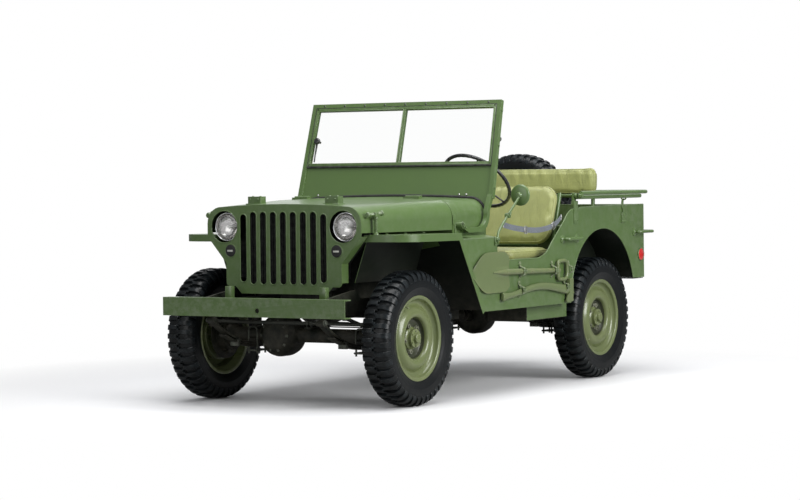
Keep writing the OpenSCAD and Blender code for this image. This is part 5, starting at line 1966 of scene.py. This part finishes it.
@dataclass
class Controls(Assembly):
    """Steering wheel, dials, levers and pedals."""

    wheel_centre: Point = (0.384, 0.015, 1.156)
    box_centre: Point = (0.29, -0.69, 0.455)
    wheel_radius: float = 0.2
    grips: int = 40

    def column(self) -> Matrix:
        """The matrix that stands a piece made about Z on the steering column."""
        way = Vector(self.wheel_centre) - Vector(self.box_centre)
        return Matrix.Translation(self.wheel_centre) @ facing(way)

    def steering_wheel(self) -> None:
        """The wheel: a rim with finger grips, three spokes and a horn button."""
        deselect()
        bpy.ops.mesh.primitive_torus_add(major_radius=self.wheel_radius, minor_radius=0.0105, major_segments=160,
            minor_segments=16)
        rim = settle(bpy.context.object, "wheel_rim")
        for corner in rim.data.vertices:
            angle = atan2(corner.co.y, corner.co.x)
            out = Vector((cos(angle), sin(angle), 0)) * self.wheel_radius
            off = corner.co - out
            low = max(0.0, -off.z / 0.0105)
            corner.co = out + off * (1 - 0.16 * low * (0.5 + 0.5 * cos(angle * self.grips)))
        smooth(rim, 60)
        spokes = [tube("spoke", [(0.02 * cos(a + d), 0.02 * sin(a + d), 0.0), (0.1 * cos(a), 0.1 * sin(a), -0.004),
            (0.194 * cos(a), 0.194 * sin(a), 0.0)], 0.0052, 0.03, sides=3) for a in (tau * i / 3 for i in range(3))
            for d in (-0.25, 0.25)]
        hub = lathe("wheel_hub", flowing([(-0.024, 0.0), (-0.024, 0.024), (-0.01, 0.03), (0.006, 0.03),
            (0.013, 0.024), (0.014, 0.016)], 3) + [(0.014, 0.0)], (0, 0, 0), Z_AXIS, 40)
        wheel = join("steering_wheel_rim", [rim, *spokes, hub])
        wheel.data.transform(self.column())
        self.dress(wheel, Finish.BLACK, "steering_wheel", ["steering_wheel"])
        button = lathe("horn_button", flowing([(0.012, 0.0135), (0.0158, 0.012), (0.016, 0.0)], 3), (0, 0, 0), Z_AXIS,
            32)
        button.data.transform(self.column())
        self.dress(button, Finish.BLACK, "steering_wheel")

    def column_fittings(self) -> None:
        """The steering column, its bracket and the steering box bolts."""
        self.dress(panel("steering_column", "steering_column_tube", 0.002))
        heads = [((0.3255, -0.69 + dy, 0.455 + dz), (1, 0, 0)) for dy in (-0.036, 0.036) for dz in (-0.028, 0.032)]
        self.dress(bolt_heads("steering_box_bolts", heads, 0.007, 0.006), Finish.IRON)

    def dials(self) -> None:
        """Five dials, switches and a glove box lid on the dashboard."""
        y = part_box("dashboard")[1].y
        shells, faces, marks, glasses = [], [], [], []
        for x, z, r in ((0.0, 1.0, 0.04), (0.098, 1.022, 0.024), (0.098, 0.966, 0.024), (-0.098, 1.022, 0.024),
                (-0.098, 0.966, 0.024)):
            shells.append(lathe("dial_ring", flowing([(0.0, r + 0.004), (0.006, r + 0.004), (0.008, r + 0.001),
                (0.004, r - 0.002)], 3), (x, y, z), Y_AXIS, 40))
            faces.append(drum("dial_face", (x, y, z), (x, y + 0.003, z), r, 32))
            needle = strip("needle", [(x, y + 0.0045, z), (x + r * 0.6, y + 0.0045, z + r * 0.45)], (-0.5, 0, 0.7),
                0.0018, 0.0006)[0]
            marks.append(needle)
            for k in range(9):
                a = radians(-30 + 30 * k)
                marks.append(strip("tick", [(x + cos(a) * r * 0.74, y + 0.0036, z + sin(a) * r * 0.74),
                    (x + cos(a) * r * 0.9, y + 0.0036, z + sin(a) * r * 0.9)], (-sin(a), 0, cos(a)), 0.0016,
                    0.0006)[0])
            glasses.append(drum("dial_glass", (x, y + 0.0055, z), (x, y + 0.0065, z), r - 0.001, 32))
        self.dress(join("dial_rings", shells), Finish.BLACK)
        self.dress(join("dial_faces", faces), Finish.MATT_BLACK)
        self.dress(join("dial_marks", marks), Finish.DIAL)
        self.dress(join("dial_glasses", glasses), Finish.PANE)
        knobs = [lathe("switch", flowing([(0.0, 0.004), (0.012, 0.004), (0.016, 0.01), (0.024, 0.01), (0.027, 0.0)],
            3), (x, y, z), Y_AXIS, 20) for x, z in ((0.165, 0.95), (0.2, 0.95), (0.235, 0.95), (-0.16, 0.95),
            (-0.195, 0.95))]
        self.dress(join("switch_knobs", knobs), Finish.BLACK)
        lid = block("glove_box_lid", (-0.5, y - 0.001, 0.945), (-0.25, y + 0.004, 1.03), 0.003)
        self.dress(lid)
        screws = [((x, y + 0.004, z), (0, 1, 0)) for x in (-0.485, -0.265) for z in (0.957, 1.018)]
        self.dress(rivets("glove_box_screws", screws, 0.004))

    def levers(self) -> None:
        """Gear and transfer levers with their boots, and the three pedals."""
        self.dress(panel("control_levers", "lever_rods", 0.003), Finish.BLACK)
        boot = lathe("lever_boots", flowing([(0.0, 0.046), (0.01, 0.04), (0.016, 0.03), (0.024, 0.031), (0.03, 0.022),
            (0.038, 0.022), (0.044, 0.014), (0.052, 0.013)], 3), (0.0, -0.3, 0.69), Z_AXIS, 28)
        self.dress(boot, Finish.MATT_BLACK)
        pads = [block("pedal_pad", (x - 0.03, -0.4895, 0.688), (x + 0.03, -0.4835, 0.742), 0.004)
            for x in (0.312, 0.42)]
        ribs = [block("pedal_rib", (x - 0.026, -0.485, z), (x + 0.026, -0.4815, z + 0.004), 0.001)
            for x in (0.312, 0.42) for z in (0.697, 0.708, 0.719, 0.73)]
        self.dress(join("pedal_pads", pads + ribs), Finish.MATT_BLACK)

    def build(self) -> None:
        """Make the controls."""
        self.steering_wheel()
        self.column_fittings()
        self.dials()
        self.levers()


@dataclass
class Tools(Assembly):
    """Shovel and axe strapped to the driver's side, the door straps and the mirror."""

    side_x: float = 0.72

    def blade(self) -> Piece:
        """The shovel's dished blade with its socket ridge."""
        deselect()
        bpy.ops.mesh.primitive_grid_add(x_subdivisions=28, y_subdivisions=20, size=2)
        piece = bpy.context.object
        back, front, middle = -0.246, -0.64, 0.664
        for corner in piece.data.vertices:
            u, v = (corner.co.x + 1) / 2, corner.co.y
            taper = min(1.0, 0.16 + 0.84 * sin(pi / 2 * min(1.0, u / 0.42)))
            shoulder = 1 - 0.3 * max(0.0, (u - 0.86) / 0.14) ** 1.5
            half = 0.11 * taper * shoulder
            y = front + (back - front) * u
            dish = 0.0055 * v * v
            ridge = 0.013 * exp(-(v / 0.16) ** 2) * max(0.0, (u - 0.45) / 0.55) ** 1.3
            groove = -0.004 * exp(-((abs(v) - 0.28) / 0.12) ** 2) * max(0.0, u - 0.5)
            corner.co = Vector((0.7285 + dish + ridge + groove, y, middle + v * half))
        settle(piece, "shovel_blade")
        modify(piece, "SOLIDIFY", thickness=0.0022, offset=0.0)
        edit(piece)
        close_edit(outwards=True)
        return smooth(piece, 60)

    def shovel(self) -> Piece:
        """The whole shovel."""
        socket = drum("socket", (0.7375, -0.3, 0.6625), (0.7372, 0.02, 0.6565), 0.0172, 28, tip=0.0152)
        point = drum("socket_point", (0.731, -0.42, 0.6635), (0.7375, -0.298, 0.6625), 0.0035, 28, tip=0.017)
        shaft = drum("shaft", (0.7372, 0.01, 0.6567), (0.737, 0.292, 0.65), 0.015, 28, tip=0.0135)
        fork = drum("fork", (0.737, 0.27, 0.65), (0.737, 0.312, 0.65), 0.015, 20, 0.002)
        grip = tube("grip", [(0.737, 0.3, 0.65), (0.737, 0.3, 0.7), (0.737, 0.408, 0.704), (0.737, 0.408, 0.596),
            (0.737, 0.3, 0.6), (0.737, 0.3, 0.65)], 0.0108, 0.04, sides=4)
        pins = rivets("grip_pins", [((0.748, 0.3, 0.69), (1, 0, 0)), ((0.748, 0.3, 0.61), (1, 0, 0)),
            ((0.753, -0.02, 0.657), (1, 0, 0)), ((0.754, -0.12, 0.659), (1, 0, 0))], 0.0042)
        return join("shovel_whole", [self.blade(), point, socket, shaft, fork, grip, pins])

    def axe_handle(self) -> Piece:
        """The axe's curved ash handle, swept from an oval."""
        deselect()
        bpy.ops.mesh.primitive_cylinder_add(vertices=16, radius=1, depth=1)
        piece = bpy.context.object
        edit(piece)
        choose(piece, "EDGE", lambda middle, way: abs(way.z) > 0.9)
        bpy.ops.mesh.subdivide(number_cuts=30)
        close_edit()
        for corner in piece.data.vertices:
            t = corner.co.z + 0.5
            y = -0.332 + 0.776 * t
            wave = 0.548 - 0.019 * cos(tau * 0.92 * t) + 0.004 * t
            knob = 1 + 0.45 * exp(-((t - 0.01) / 0.045) ** 2)
            corner.co = Vector((0.7372 + corner.co.x * 0.0115, y, wave + corner.co.y * (0.0165 + 0.01 * t * t)
                * knob))
        settle(piece, "axe_handle")
        edit(piece)
        close_edit(outwards=True)
        soften(piece, 0.003, 2, 60)
        return smooth(piece, 50)

    def axe_head(self) -> Piece:
        """The axe's head: a poll, an eye and a flaring bit."""
        outline = flowing([(0.42, 0.598), (0.418, 0.56), (0.414, 0.528), (0.404, 0.498), (0.396, 0.47),
            (0.424, 0.466), (0.452, 0.467), (0.478, 0.472), (0.47, 0.498), (0.464, 0.528), (0.464, 0.56),
            (0.466, 0.598)], 3)
        piece = plate("axe_head", outline, "YZ", 0.7245, 0.7499)
        edit(piece)
        choose(piece, "VERT", lambda place, way: place.z < 0.515)
        bpy.ops.transform.resize(value=(0.34, 1, 1))
        close_edit()
        soften(piece, 0.0025, 2, 30)
        return smooth(piece, 30)

    def tool_straps(self) -> None:
        """Straps and their footman loops round the tools."""
        x = self.side_x
        bands, lengths, metal = [], [], []
        for y, z, reach in ((0.255, 0.651, 0.0225), (-0.11, 0.659, 0.0235), (-0.12, 0.556, 0.0215),
                (0.392, 0.552, 0.0215), (0.448, 0.65, 0.02)):
            out = x + 0.0335 if y < 0.42 else x + 0.03
            band, length = strip("band", [(x + 0.0015, y, z - reach - 0.018), (x + 0.006, y, z - reach - 0.002),
                (out, y, z - reach + 0.004), (out, y, z + reach - 0.004), (x + 0.006, y, z + reach + 0.002),
                (x + 0.0015, y, z + reach + 0.03)], (0, 1, 0), 0.022, 0.002, 0.01)
            bands.append(band)
            lengths.append(length)
            metal.append(buckle("strap_buckle", (out + 0.0005, y, z + 0.002), (0, 0, 1), (1, 0, 0), 0.022))
            for dz in (-reach - 0.012, reach + 0.016):
                metal.append(tube("footman_loop", [(x - 0.001, y - 0.019, z + dz), (x + 0.0055, y - 0.014, z + dz),
                    (x + 0.0055, y + 0.014, z + dz), (x - 0.001, y + 0.019, z + dz)], 0.0026, 0.006, sides=2))
        for i, (band, length) in enumerate(zip(bands, lengths)):
            band.name = f"tool_strap_{i + 1}"
            self.dress(band, Finish.GREEN_WEBBING)
        self.dress(join("tool_strap_buckles", metal))

    def door_straps(self) -> None:
        """Safety straps across the door openings, with a buckle and hooks."""
        metal = []
        for side, name in ((1, "left"), (-1, "right")):
            x = side * 0.7075
            path = [(x, -0.262, 0.918), (x, -0.18, 0.902), (x, -0.02, 0.884), (x, 0.13, 0.878), (x, 0.26, 0.89),
                (x, 0.345, 0.914), (x, 0.392, 0.942)]
            band, length = strip(f"door_strap_{name}", path, (side * 0.12, -0.1, 1), 0.031, 0.0024, 0.05)
            self.dress(band, Finish.WEBBING, CHASSIS, ["door_straps"])
            for y, z, along in ((-0.02, 0.884, (0, 1, -0.05)), (0.3, 0.9, (0, 1, 0.55))):
                metal.append(buckle("door_buckle", (x + side * 0.001, y, z), along, (side, 0, 0), 0.033))
            for y, z in ((-0.266, 0.92), (0.398, 0.946)):
                metal.append(tube("hook", [(x, y, z - 0.016), (x, y, z + 0.016)], 0.004, sides=2))
                metal.append(tube("eye", [(x, y - 0.012, z), (x - side * 0.004, y, z + 0.004), (x, y + 0.012, z)],
                    0.003, sides=2))
        self.dress(join("door_strap_fittings", metal), Finish.STEEL)

    def mirror(self) -> None:
        """The round mirror on its jointed arm."""
        centre = (0.742, -0.137, 1.077)
        shell = lathe("mirror_shell", flowing([(-0.008, 0.0), (-0.0078, 0.018), (-0.0066, 0.036), (-0.0035, 0.05),
            (0.0015, 0.0572), (0.007, 0.059), (0.0078, 0.0575), (0.0062, 0.0555)], 4), centre, Y_AXIS, 64)
        glass = lathe("mirror_face", [(0.0058, 0.0565), (0.0062, 0.056), (0.0063, 0.0)], centre, Y_AXIS, 64)
        boss = lathe("mirror_boss", flowing([(-0.02, 0.0), (-0.02, 0.01), (-0.014, 0.014), (-0.006, 0.018)], 3),
            centre, Y_AXIS, 28)
        arm = tube("mirror_arm", [(0.728, -0.368, 0.838), (0.729, -0.356, 0.88), (0.735, -0.262, 0.968),
            (0.741, -0.152, 1.06), (0.742, -0.15, 1.077)], 0.0068, 0.022, sides=4)
        knuckle = drum("mirror_knuckle", (0.722, -0.262, 0.968), (0.75, -0.262, 0.968), 0.0135, 24, 0.002)
        wing = tube("mirror_wing", [(0.75, -0.276, 0.984), (0.75, -0.262, 0.968), (0.75, -0.248, 0.984)], 0.0034,
            0.004, sides=2)
        foot = block("mirror_foot", (self.side_x + 0.0004, -0.388, 0.81), (self.side_x + 0.0075, -0.35, 0.856), 0.003)
        clamp = drum("mirror_clamp", (self.side_x + 0.002, -0.368, 0.842), (0.74, -0.368, 0.842), 0.0125, 24, 0.002)
        bolts = bolt_heads("mirror_bolts", [((self.side_x + 0.0075, -0.38, 0.822), (1, 0, 0)),
            ((self.side_x + 0.0075, -0.358, 0.822), (1, 0, 0)), ((0.74, -0.368, 0.842), (1, 0, 0))], 0.0055, 0.005)
        self.dress(join("mirror_head_and_arm", [shell, boss, arm, knuckle, wing, foot, clamp, bolts]), Finish.OLIVE,
            CHASSIS, ["driver_mirror"])
        self.dress(glass, Finish.CHROME)

    def build(self) -> None:
        """Make the tools, straps and mirror."""
        self.dress(self.shovel(), Finish.WOOD, CHASSIS, ["pioneer_tools"])
        self.dress(join("axe_whole", [self.axe_handle(), self.axe_head()]), Finish.WOOD)
        self.tool_straps()
        self.door_straps()
        self.mirror()


def build_car() -> None:
    """Build every sub-assembly in order."""
    shop = Paintshop(Effects())
    for assembly in (Tyres(shop), Wheels(shop), Chassis(shop), Tub(shop), Nose(shop), Windshield(shop), Seats(shop),
            Controls(shop), Tools(shop)):
        log.info("-- %s", type(assembly).__name__)
        assembly.build()
    log.info("%d pieces dressed", shop.count)


def corners(box: Iterable[Iterable[float]]) -> list[list[float]]:
    """A box's two corners as plain lists."""
    return [[float(x) for x in corner] for corner in box]


def main() -> None:
    """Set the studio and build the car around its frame."""
    logging.basicConfig(level=logging.INFO, format="%(message)s")
    for leftover in list(bpy.data.objects):
        bpy.data.objects.remove(leftover)
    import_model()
    studio = Studio()
    studio.set_camera()
    studio.lay_floor()
    studio.light()
    build_car()
    deselect()


if __name__ == "__main__":
    main()
